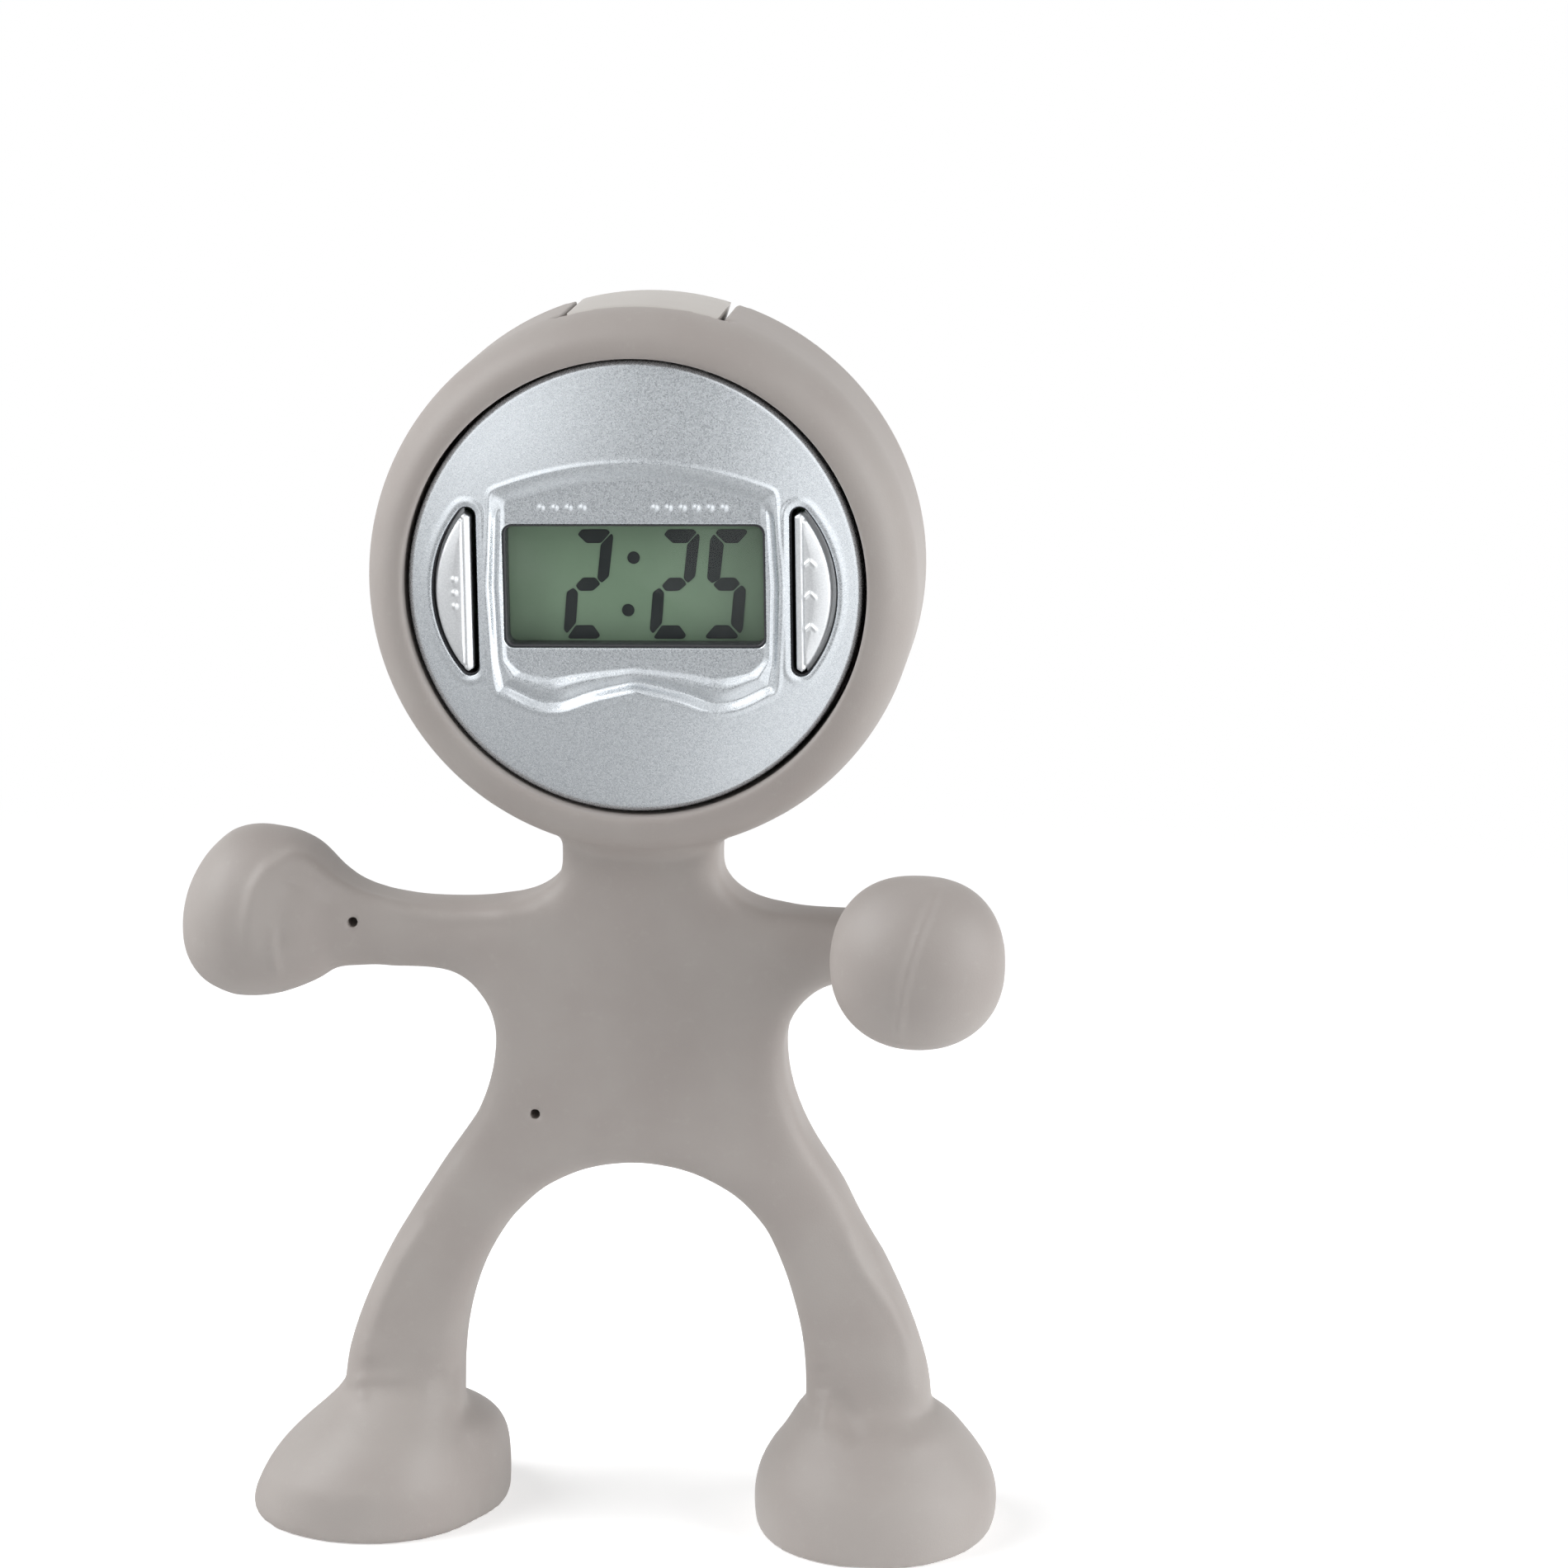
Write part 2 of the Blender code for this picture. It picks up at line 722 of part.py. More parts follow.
def leg(name, side, toe_turn, foot_shift, half_length, back_shift):
    """One loft from the sole up through the domed foot and the arched leg."""
    foot_shares = [(0.0, 0.965), (0.05, 0.99), (0.16, 1.0), (0.30, 0.985), (0.44, 0.94),
                   (0.58, 0.85), (0.70, 0.75), (0.81, 0.66)]
    dome_share = 0.16
    leg_shares = [0.0, 0.18, 0.36, 0.54, 0.72, 0.88, 1.0]
    squarer = 0.5
    pinch_up_share, pinch_width_share, pinch_depth_share, shin_share = 0.92, 1.14, 1.12, 1.05
    ankle_x = (ankle_inner + ankle_outer) / 2
    ankle_half = (ankle_outer - ankle_inner) / 2
    stations = []
    for up_share, width_share in foot_shares:
        lean = smooth_step(up_share)
        stations.append((
            up_share * ankle_height,
            ankle_x + foot_shift * (1 - lean),
            back_shift * (1 - lean),
            foot_half_width * width_share,
            half_length * width_share * (1 - dome_share * up_share),
            toe_turn,
            2.1,
        ))
    stations.append((pinch_up_share * ankle_height, ankle_x, 0, pinch_width_share * ankle_half,
                     pinch_depth_share * ankle_depth / 2, 0, 2.3))
    shin_start = ankle_height * shin_share
    for share in leg_shares:
        height = shin_start + (hip_axis_height - shin_start) * share
        inner, outer = leg_inner(height), leg_outer(height)
        half_depth = (ankle_depth + (leg_depth - ankle_depth) * smooth_step(share * 2)) / 2
        stations.append((height, (inner + outer) / 2, 0, (outer - inner) / 2, half_depth, 0,
                         leg_power + squarer * share))
    for share in (0.35, 0.7, 1.0):
        height = hip_axis_height + leg_reach_above_hip * share
        inner, outer = max(leg_inner(height), hip_knuckle_inner_x), leg_outer(height)
        stations.append((height, (inner + outer) / 2, 0, (outer - inner) / 2, leg_depth / 2, 0, 3.6))
    sections = []
    for height, x, y, half_width, half_depth, turn, power in stations:
        c, s = math.cos(turn), math.sin(turn)
        sections.append([
            (side * (x + a * c + b * s), y - a * s + b * c, height)
            for a, b in oval(half_width, half_depth, power, 22)
        ])
    return loft(name, sections, rubber)


def shoulder_tools(side):
    """Round socket cutter for the torso and keeper for the arm, about the upright shoulder axis."""
    x = side * shoulder_axis_x
    low = Vector((x, 0, waist_height))
    high = Vector((x, 0, shoulder_top + neck_fillet_height))
    socket_radius = shoulder_knuckle_radius + joint_gap
    lip = math.sqrt(socket_radius ** 2 - (arm_depth / 2) ** 2)
    reach = left_fist_x + left_fist_half_length + right_fist_radius
    wide = right_fist_forward + 2 * right_fist_half_length
    base, top = waist_height, shoulder_top + 2 * left_fist_half_height
    socket = tube_along("socket", [low, high], socket_radius, 30)
    xs = sorted((x - side * lip, side * reach))
    fuse(socket, block("outside", (xs[0], -wide, base), (xs[1], wide, high.z)))
    keeper = tube_along("keeper", [Vector((x, 0, base)), Vector((x, 0, top))], shoulder_knuckle_radius, 30)
    xs = sorted((x, side * reach))
    fuse(keeper, block("outside", (xs[0], -wide, base), (xs[1], wide, top)))
    return socket, keeper


def hip_tools(side):
    """Round socket cutter for the torso and keeper for the leg, about the level hip axis."""
    inner, outer = hip_knuckle_inner_x - joint_gap, ankle_outer + overrun
    socket_radius = hip_knuckle_radius + joint_gap
    lip = math.sqrt(socket_radius ** 2 - (leg_depth / 2 - joint_gap) ** 2)
    far = foot_half_length * 2
    socket = tube_along("socket", [Vector((side * inner, 0, hip_axis_height)),
                                   Vector((side * outer, 0, hip_axis_height))], socket_radius, 30)
    xs = sorted((side * inner, side * outer))
    fuse(socket, block("below", (xs[0], -torso_depth, hip_axis_height - 2 * socket_radius),
                       (xs[1], torso_depth, hip_axis_height + lip)))
    keeper = tube_along("keeper", [Vector((0, 0, hip_axis_height)),
                                   Vector((side * far * 2, 0, hip_axis_height))], hip_knuckle_radius, 30)
    xs = sorted((0, side * far * 2))
    fuse(keeper, block("below", (xs[0], -far, -overrun), (xs[1], far, hip_axis_height)))
    return socket, keeper


def rubber_figure(figure):
    """The moulding and its wires."""
    body = fuse(torso(), neck(), head_ring())
    cut(body, disc("bore", bore_radius, -head_front - overrun, head_back + overrun, 68), *tab_slot())
    limbs = {
        ("arm", -1): left_arm(),
        ("arm", 1): right_arm(),
        ("leg", -1): leg("left_leg", -1, -left_toe_turn, left_foot_shift, left_foot_half_length,
                         left_foot_back_shift),
        ("leg", 1): leg("right_leg", 1, right_toe_turn, right_foot_shift, foot_half_length,
                        foot_back_shift),
    }
    for (kind, side), limb in limbs.items():
        word = "left" if side < 0 else "right"
        is_arm = kind == "arm"
        socket, keeper = shoulder_tools(side) if is_arm else hip_tools(side)
        route = arm_wire_route(side) if is_arm else leg_wire_route(side)
        cut(body, socket)
        cut(body, bore_for(route, "bore"))
        keep(limb, keeper)
        cut(limb, bore_for(route, "bore"))
        if is_arm:
            origin = (side * shoulder_axis_x, 0, shoulder_axis_height)
            if side < 0:
                cut(limb, pin_hole(side * arm_pin_x, arm_pin_height, torso_depth))
        else:
            origin = (side * hip_axis_x, 0, hip_axis_height)
            cut(body, pin_hole(side * leg_wire_pin_x, leg_wire_pin_height, torso_depth))
        place(limb, figure, origin)
        place(tube_along(word + "_" + kind + "_wire", route, wire_radius, 6, steel), figure, origin)
    place(body, figure)


# Clock face

def panel_outline():
    """Arched top, straight sides and a lower edge of two lobes."""
    steps = 8
    points = []
    for index in range(steps + 1):
        share = -1 + 2 * index / steps
        points.append((panel_corner_width * share,
                       panel_corner_up + (panel_apex_up - panel_corner_up) * (1 - share * share)))
    corner_share, low_shares, round_shares = 0.97, (0.90, 1.08), (1.17, 0.985, 0.85)
    lobes = [
        (panel_half_width, 0),
        (panel_half_width * corner_share, -panel_corner_down * corner_share),
        (panel_half_width * low_shares[0], -panel_corner_down * low_shares[1]),
        (panel_lobe_x * round_shares[0], -panel_lobe_down * round_shares[1]),
        (panel_lobe_x * round_shares[2], -panel_lobe_down),
        (panel_lobe_x / 2, -(panel_lobe_down + panel_notch_down) / 2),
        (0, -panel_notch_down),
    ]
    right = spline(lobes, 2)
    left = [(-x, z) for x, z in reversed(right[:-1])]
    return points + right + left


def inset_outline(outline, distance):
    """Move each point of an outline inward along its own normal."""
    count = len(outline)
    area = sum(outline[i - 1][0] * outline[i][1] - outline[i][0] * outline[i - 1][1] for i in range(count))
    turn = 1 if area < 0 else -1
    moved = []
    for index in range(count):
        (ax, az), (bx, bz) = outline[index - 1], outline[(index + 1) % count]
        along = Vector((bx - ax, bz - az)).normalized()
        moved.append((outline[index][0] + along.y * distance * turn,
                      outline[index][1] - along.x * distance * turn))
    return moved


def rounded_box(half_width, half_height, corner, steps=4):
    """A rectangle with round corners."""
    points = []
    for x_sign, z_sign, start in ((1, 1, 0), (-1, 1, 90), (-1, -1, 180), (1, -1, 270)):
        points += arc(x_sign * (half_width - corner), z_sign * (half_height - corner), corner, corner,
                      start, start + 90, steps)
    return points


def button_outline(side, shrink):
    """A straight side towards the window and a bowed side towards the rim, smaller by the shrink."""
    middle = button_outer_x - button_bow_radius
    corner_x = button_inner_x + button_corner
    corner_up = math.sqrt((button_bow_radius - button_corner) ** 2 - (corner_x - middle) ** 2)
    angle = math.degrees(math.atan2(corner_up, corner_x - middle))
    bow, corner = button_bow_radius - shrink, button_corner - shrink
    points = arc(middle, button_up, bow, bow, -angle, angle, 8)
    points += arc(corner_x, button_up + corner_up, corner, corner, angle, 180, 4)[1:]
    points += arc(corner_x, button_up - corner_up, corner, corner, 180, 360 - angle, 4)[:-1]
    return [(side * x, z) for x, z in points]


def screw_places():
    return [(x * screw_x, z * screw_up) for x, z in ((-1, 1), (1, 1), (-1, -1), (1, -1))]


def face_bezel(figure):
    """Silver front shell: raised rims, arched recess, window, two pockets, skirt and four bosses."""
    inner = bezel_radius - bezel_wall
    profile = [
        (0, face_front),
        (bezel_radius - bezel_edge_round, face_front),
        (bezel_radius, face_front + bezel_edge_round),
        (bezel_radius, bezel_skirt_back),
        (inner, bezel_skirt_back),
        (inner, face_back),
        (0, face_back),
    ]
    bezel = turned("face_bezel", profile, 60, silver)
    panel = panel_outline()
    rim_front, rim_back = face_front - rim_height, face_front + rim_height
    solids = [prism("rim", inset_outline(panel, -rim_width), rim_front, rim_back)]
    hollows = [
        prism("recess", panel, face_front - overrun, face_front + panel_recess),
        prism("window", rounded_box(window_half_width, window_half_height, window_corner),
              face_front, face_back + overrun),
    ]
    for side in (-1, 1):
        solids.append(prism("rim", button_outline(side, -rim_width), rim_front, rim_back))
        hollows.append(prism("pocket", button_outline(side, 0), face_front - overrun, face_back + overrun))
    for x, up in screw_places():
        solids.append(disc("boss", post_radius, face_back - face_thickness / 2, board_front - clearance, 12,
                           None, x, up))
        hollows.append(disc("pilot", screw_shank_radius + clearance, screw_tip - clearance, board_front, 8,
                            None, x, up))
    fuse(bezel, *solids)
    cut(bezel, *hollows)
    place_module(bezel, figure)


def display(figure):
    """Stepped lens, display glass, its frame and the contact strip."""
    pane = rounded_box(window_half_width - clearance, window_half_height - clearance, window_corner)
    flange = rounded_box(window_half_width + window_flange, window_half_height + window_flange,
                         window_corner)
    flange_back = window_flange_front + window_flange_thickness
    window = prism("lcd_window", pane, window_front, flange_back - window_flange_thickness / 2, clear)
    fuse(window, prism("flange", flange, window_flange_front, flange_back))
    place_module(window, figure)
    glass = prism("lcd_glass", rounded_box(lcd_half_width, lcd_half_height, window_corner / 2, 1),
                  lcd_front, lcd_front + lcd_thickness / 2, display_glass)
    shorter = [(x, z if z > 0 else z + lcd_frame_margin) for x, z in
               rounded_box(lcd_half_width, lcd_half_height, window_corner / 2, 1)]
    back_pane = prism("back_pane", rounded_box(lcd_half_width, lcd_half_height, window_corner / 2, 1),
                      lcd_front + lcd_thickness / 4, lcd_back)
    cut(glass, prism("ledge", [(x * 2, z - lcd_half_height * 2 + lcd_ledge) for x, z in shorter],
                     lcd_front - overrun, lcd_front + lcd_thickness / 2))
    fuse(glass, back_pane)
    place_module(glass, figure)
    opening = rounded_box(lcd_half_width + clearance, lcd_half_height + clearance, window_corner / 2, 1)
    outside = inset_outline(rounded_box(lcd_half_width + clearance + lcd_frame_wall,
                                        lcd_half_height + clearance + lcd_frame_wall, window_corner, 2), 0)
    frame = prism("lcd_frame", outside, lcd_front, board_front - clearance, dark_plastic)
    cut(frame, prism("opening", opening, lcd_front - overrun, board_front + overrun))
    place_module(frame, figure)
    strip = rounded_box(zebra_half_length, zebra_half_height, zebra_half_height / 3, 1)
    strip = [(x, z - zebra_down) for x, z in strip]
    zebra = prism("zebra_strip", strip, lcd_back + clearance, board_front - clearance, dark_rubber)
    place_module(zebra, figure)


def push_button(figure, name, side):
    """D-shaped cap with a crowned front, a flange that keeps it in and a stem to its switch."""
    crown_shares = [(0.0, 1.5), (0.3, 0.6), (1.0, 0.0)]
    rings = [(button_front + button_crown * deep, button_crown * inset) for deep, inset in crown_shares]
    rings.append((window_flange_front + button_flange_thickness / 2, 0))
    sections = []
    for depth, inset in rings:
        outline = button_outline(side, button_gap + inset)
        sections.append([(x, depth, head_height + z) for x, z in outline])
    button = loft(name, sections, button_plastic)
    inner_edge = button_inner_x + button_gap + clearance / 2
    flange = [(side * max(abs(x), inner_edge), z)
              for x, z in button_outline(side, button_gap - button_flange)]
    flange_back = window_flange_front + button_flange_thickness
    fuse(button, prism("flange", flange, window_flange_front, flange_back))
    fuse(button, disc("stem", button_stem_radius, flange_back - button_flange_thickness / 2,
                      button_stem_end, 12, None, side * button_stem_x, button_up))
    place_module(button, figure, (side * button_stem_x, 0, head_height + button_up))


def switch_pad(figure, name, side):
    """Low rubber dome on the board, under the stem of its button."""
    base = board_front - clearance
    tip_share, tip_up_share, foot_share, foot_up_share, edge_up_share = 0.8, 0.85, 0.8, 0.3, 0.2
    profile = [
        (0, base - pad_height),
        (pad_tip_radius * tip_share, base - pad_height),
        (pad_tip_radius, base - pad_height * tip_up_share),
        (pad_radius * foot_share, base - pad_height * foot_up_share),
        (pad_radius, base - pad_height * edge_up_share),
        (pad_radius, base),
        (0, base),
    ]
    place_module(turned(name, profile, 14, dark_rubber, side * button_stem_x, button_up), figure)


def board(figure):
    """Round circuit board with its screw holes, chip and quartz can."""
    plate = disc("circuit_board", board_radius, board_front, board_back, 44, board_green)
    holes = []
    for x, up in screw_places():
        holes.append(disc("hole", board_hole_radius, board_front - overrun, board_back + overrun, 10,
                          None, x, up))
    cut(plate, *holes)
    place_module(plate, figure)
    seat = board_back + clearance
    dome_shares = [(0, 0), (1, 0), (0.96, 0.35), (0.75, 0.75), (0.4, 0.95), (0, 1)]
    dome = [(chip_radius * out, seat + chip_height * high) for out, high in dome_shares]
    place_module(turned("chip_blob", dome, 16, black_resin, chip_x, chip_up), figure)
    can = seat + crystal_radius
    z = head_height + crystal_up
    half = crystal_length / 2
    ends = [(crystal_x - half, can, z), (crystal_x + half, can, z)]
    place_module(tube_along("quartz_crystal", ends, crystal_radius, 12, steel), figure)


def supply(figure):
    """Button cell with its step, a leaf under it and a leaf at its side."""
    profile = [
        (0, cell_front),
        (cell_radius - 2 * cell_step, cell_front),
        (cell_radius - cell_step, cell_front + cell_step),
        (cell_radius, cell_front + cell_step),
        (cell_radius, cell_back - cell_step / 2),
        (cell_radius - cell_step / 2, cell_back),
        (0, cell_back),
    ]
    place_module(turned("button_cell", profile, 32, steel, 0, cell_up), figure)
    seat = board_back + clearance
    rise_shares = [(-1.0, 0), (-0.35, 0), (-0.1, 1), (0.6, 1), (1.0, 0.6)]
    upper = [(contact_length / 2 * x, seat + contact_thickness + contact_rise * y) for x, y in rise_shares]
    lower = [(x, y - contact_thickness) for x, y in reversed(upper)]
    sections = [[(x, y, head_height + cell_up + z) for x, y in upper + lower]
                for z in (-contact_width / 2, contact_width / 2)]
    place_module(loft("cell_contact_negative", sections, brass), figure)
    start = cell_radius + clearance
    low, high = head_height + cell_up - contact_width / 2, head_height + cell_up + contact_width / 2
    side_leaf = block("cell_contact_positive", (start, seat, low),
                      (start + contact_thickness, seat + side_contact_height, high), brass)
    foot = block("foot", (start, seat, low), (start + contact_foot, seat + contact_thickness, high))
    place_module(fuse(side_leaf, foot), figure)


def rear_case(figure):
    """Cup behind the board with screw posts, a cell well, the door's seat and the grip tab on top."""
    inner = bezel_radius - case_wall
    profile = [(bezel_radius, case_front), (bezel_radius, case_back - bezel_edge_round),
               (bezel_radius - bezel_edge_round, case_back), (0, case_back), (0, case_inside),
               (inner, case_inside), (inner, case_front)]
    case = turned("rear_case", profile, 60, case_plastic)
    plate_middle = case_inside + case_plate / 2
    root_share = 0.96
    solids = [
        sector("tab", bore_radius, tab_radius, tab_half_angle, tab_front, case_back, 10, tab_middle),
        sector("root", inner + case_wall / 3, bore_radius + case_wall, tab_half_angle * root_share,
               case_front + case_wall, case_back - bezel_edge_round, 8, tab_middle),
        turned("well", [(well_radius + well_wall, well_front()), (well_radius + well_wall, plate_middle),
                        (well_radius, plate_middle), (well_radius, well_front())], 32, None, 0, cell_up),
    ]
    hollows = [
        disc("door_hole", door_neck_radius + clearance, case_inside - overrun, case_back + overrun, 32,
             None, 0, cell_up),
        disc("door_seat", door_flange_radius + clearance, case_back - door_flange_thickness - clearance,
             case_back + overrun, 32, None, 0, cell_up),
    ]
    for x, up in screw_places():
        solids.append(disc("post", post_radius, board_back + clearance, plate_middle, 12, None, x, up))
        hollows.append(disc("shank_hole", screw_shank_radius + clearance, board_back, case_back, 8,
                            None, x, up))
        hollows.append(disc("head_seat", screw_head_radius + clearance,
                            case_back - screw_head_height - screw_head_recess - clearance,
                            case_back + overrun, 12, None, x, up))
    for quarter in (math.pi / 2, -math.pi / 2):
        hollows.append(sector("notch", door_neck_radius - clearance, door_lug_radius + clearance,
                              door_notch_half_angle, case_inside - overrun,
                              case_back - door_flange_thickness / 2, 4, quarter + door_turn, 0, cell_up))
    fuse(case, *solids)
    cut(case, *hollows)
    place_module(case, figure)


def well_front():
    """The well wall stops just behind the lugs' path and the side contact's foot."""
    return board_back + clearance + 2 * contact_thickness + clearance


def battery_door(figure):
    """Round door: flange, neck, two lugs behind the plate and a coin slot."""
    flange_front = case_back - door_flange_thickness
    neck_front = case_inside - clearance - door_lug_thickness
    profile = [(0, neck_front), (door_neck_radius, neck_front), (door_neck_radius, flange_front),
               (door_flange_radius, flange_front), (door_flange_radius, case_back), (0, case_back)]
    door = turned("battery_door", profile, 36, case_plastic, 0, cell_up)
    for quarter in (math.pi / 2, -math.pi / 2):
        fuse(door, sector("lug", door_neck_radius - clearance, door_lug_radius, door_lug_half_angle,
                          neck_front, case_inside - clearance, 4, quarter, 0, cell_up))
    slot = [(x, z + cell_up) for x, z in
            rounded_box(coin_slot_length / 2, coin_slot_width / 2, coin_slot_width / 3, 2)]
    cut(door, prism("coin_slot", slot, case_back - coin_slot_depth, case_back + overrun))
    place_module(door, figure, (0, 0, head_height + cell_up))


def case_screws(figure):
    """Four small screws from the back through case and board into the bezel's bosses."""
    head_back_face = case_back - screw_head_recess
    head_front_face = head_back_face - screw_head_height
    for number, (x, up) in enumerate(screw_places(), 1):
        profile = [
            (0, screw_tip),
            (screw_shank_radius / 2, screw_tip),
            (screw_shank_radius, screw_tip + screw_shank_radius),
            (screw_shank_radius, head_front_face),
            (screw_head_radius, head_front_face),
            (screw_head_radius, head_back_face),
            (0, head_back_face),
        ]
        screw = turned("case_screw_" + str(number), profile, 12, steel, x, up)
        place_module(screw, figure)


for leftover in list(bpy.data.objects):
    bpy.data.objects.remove(leftover)

rubber = surface("taupe_rubber", (0.39, 0.36, 0.335), 0.62)
silver = surface("silver_paint", (0.60, 0.62, 0.64), 0.38, 0.65)
button_plastic = surface("button_silver", (0.62, 0.64, 0.66), 0.35, 0.5)
case_plastic = surface("pale_case", (0.58, 0.57, 0.55), 0.45)
clear = surface("clear_lens", (0.93, 0.95, 0.95), 0.08, 0.0, 0.3)
display_glass = surface("display_glass", (0.20, 0.23, 0.19), 0.22)
dark_plastic = surface("dark_plastic", (0.04, 0.04, 0.045), 0.5)
dark_rubber = surface("dark_rubber", (0.03, 0.03, 0.03), 0.7)
board_green = surface("board_green", (0.05, 0.20, 0.09), 0.5)
black_resin = surface("black_resin", (0.015, 0.015, 0.018), 0.35)
steel = surface("bright_steel", (0.56, 0.57, 0.58), 0.32, 1.0)
brass = surface("contact_brass", (0.72, 0.56, 0.30), 0.35, 1.0)

figure_empty = bpy.data.objects.new("figure", None)
bpy.context.scene.collection.objects.link(figure_empty)
figure_empty.location = (-middle_x, -middle_y, 0)

rubber_figure(figure_empty)
face_bezel(figure_empty)
display(figure_empty)
push_button(figure_empty, "set_button", -1)
push_button(figure_empty, "advance_button", 1)
switch_pad(figure_empty, "set_switch_pad", -1)
switch_pad(figure_empty, "advance_switch_pad", 1)
board(figure_empty)
supply(figure_empty)
rear_case(figure_empty)
battery_door(figure_empty)
case_screws(figure_empty)
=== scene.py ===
import json
import math

import bmesh
import bpy
import numpy as np
from mathutils import Matrix, Vector


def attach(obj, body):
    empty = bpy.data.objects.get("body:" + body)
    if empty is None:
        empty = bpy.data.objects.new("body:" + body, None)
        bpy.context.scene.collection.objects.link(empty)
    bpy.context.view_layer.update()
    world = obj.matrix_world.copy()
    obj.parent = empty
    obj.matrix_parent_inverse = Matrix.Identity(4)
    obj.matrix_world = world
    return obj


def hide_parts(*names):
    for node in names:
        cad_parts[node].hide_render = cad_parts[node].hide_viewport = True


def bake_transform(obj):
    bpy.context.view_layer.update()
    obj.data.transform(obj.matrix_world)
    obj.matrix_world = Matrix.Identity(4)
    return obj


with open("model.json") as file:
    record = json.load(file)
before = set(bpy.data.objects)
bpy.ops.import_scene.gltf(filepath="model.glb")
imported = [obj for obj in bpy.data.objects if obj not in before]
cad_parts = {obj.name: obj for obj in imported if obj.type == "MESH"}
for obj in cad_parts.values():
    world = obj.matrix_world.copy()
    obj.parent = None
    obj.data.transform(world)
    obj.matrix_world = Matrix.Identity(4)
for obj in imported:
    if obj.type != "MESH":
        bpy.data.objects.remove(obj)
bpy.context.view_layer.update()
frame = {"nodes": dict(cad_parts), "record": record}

nodes = frame["nodes"]
bpy.ops.object.select_all(action="DESELECT")
scene = bpy.context.scene

# Sizes in millimetres. The figure's are measured from its own middle line and the floor.

MM = 0.001
MIDDLE = Vector((3.95, 4.1, 0)) * MM
HEAD_UP = 82.5
ARM_UP = 51.4
CROTCH_UP = 32.1
HIP_UP = 29.0
ANKLE_UP = 12.2
SHOULDER_CUT = 12.9
HIP_CUT_UP = 32.0

# The clock's are measured across, up and in depth from its own middle.

CLOCK_TURN = math.radians(1.6)
CLOCK_MIDDLE = Vector((-0.15, 0, 82.6))
FACE_RADIUS = 18.6
FACE_UP = -0.2
WINDOW = (10.75, 5.1, 0.8)
BUTTON_ACROSS = 14.9
BUTTON_UP = -0.4
TAB_HALF_TURN = 16.1
TAB_SEAT_HALF_TURN = 16.5
CASE_BACK = -7.8
DOOR_UP = -4.5
SCREW_PLACES = [(-8.4, 12.0), (8.4, 12.0), (-8.4, -12.0), (8.4, -12.0)]

to_figure = Matrix.Translation(MIDDLE) @ Matrix.Scale(MM, 4)
to_clock = to_figure @ Matrix.Translation(CLOCK_MIDDLE) @ Matrix.Rotation(-CLOCK_TURN, 4, "Y")
# The back of the clock is drawn as seen from behind
to_back = to_clock @ Matrix.Rotation(math.pi, 4, "Z")


# Finishes

class Line:
    """One socket of a finish, used in sums like a number."""

    def __init__(self, finish, socket):
        self.finish = finish
        self.socket = socket

    def sum(self, operation, *values):
        return self.finish.node("Math", {"operation": operation}, dict(enumerate(values)))

    def __add__(self, other):
        return self.sum("ADD", self, other)

    def __sub__(self, other):
        return self.sum("SUBTRACT", self, other)

    def __rsub__(self, other):
        return self.sum("SUBTRACT", other, self)

    def __mul__(self, other):
        return self.sum("MULTIPLY", self, other)

    def __truediv__(self, other):
        return self.sum("DIVIDE", self, other)

    def __pow__(self, other):
        return self.sum("POWER", self, other)

    __radd__ = __add__
    __rmul__ = __mul__

    def size(self):
        """The value without its sign."""
        return self.sum("ABSOLUTE", self)

    def most(self, other):
        """The greater of two values."""
        return self.sum("MAXIMUM", self, other)

    def between(self, low, high):
        """Eases from 0 to 1 as the value goes from low to high."""
        return self.finish.node("MapRange", {"interpolation_type": "SMOOTHSTEP"},
                                {"Value": self, "From Min": low, "From Max": high})


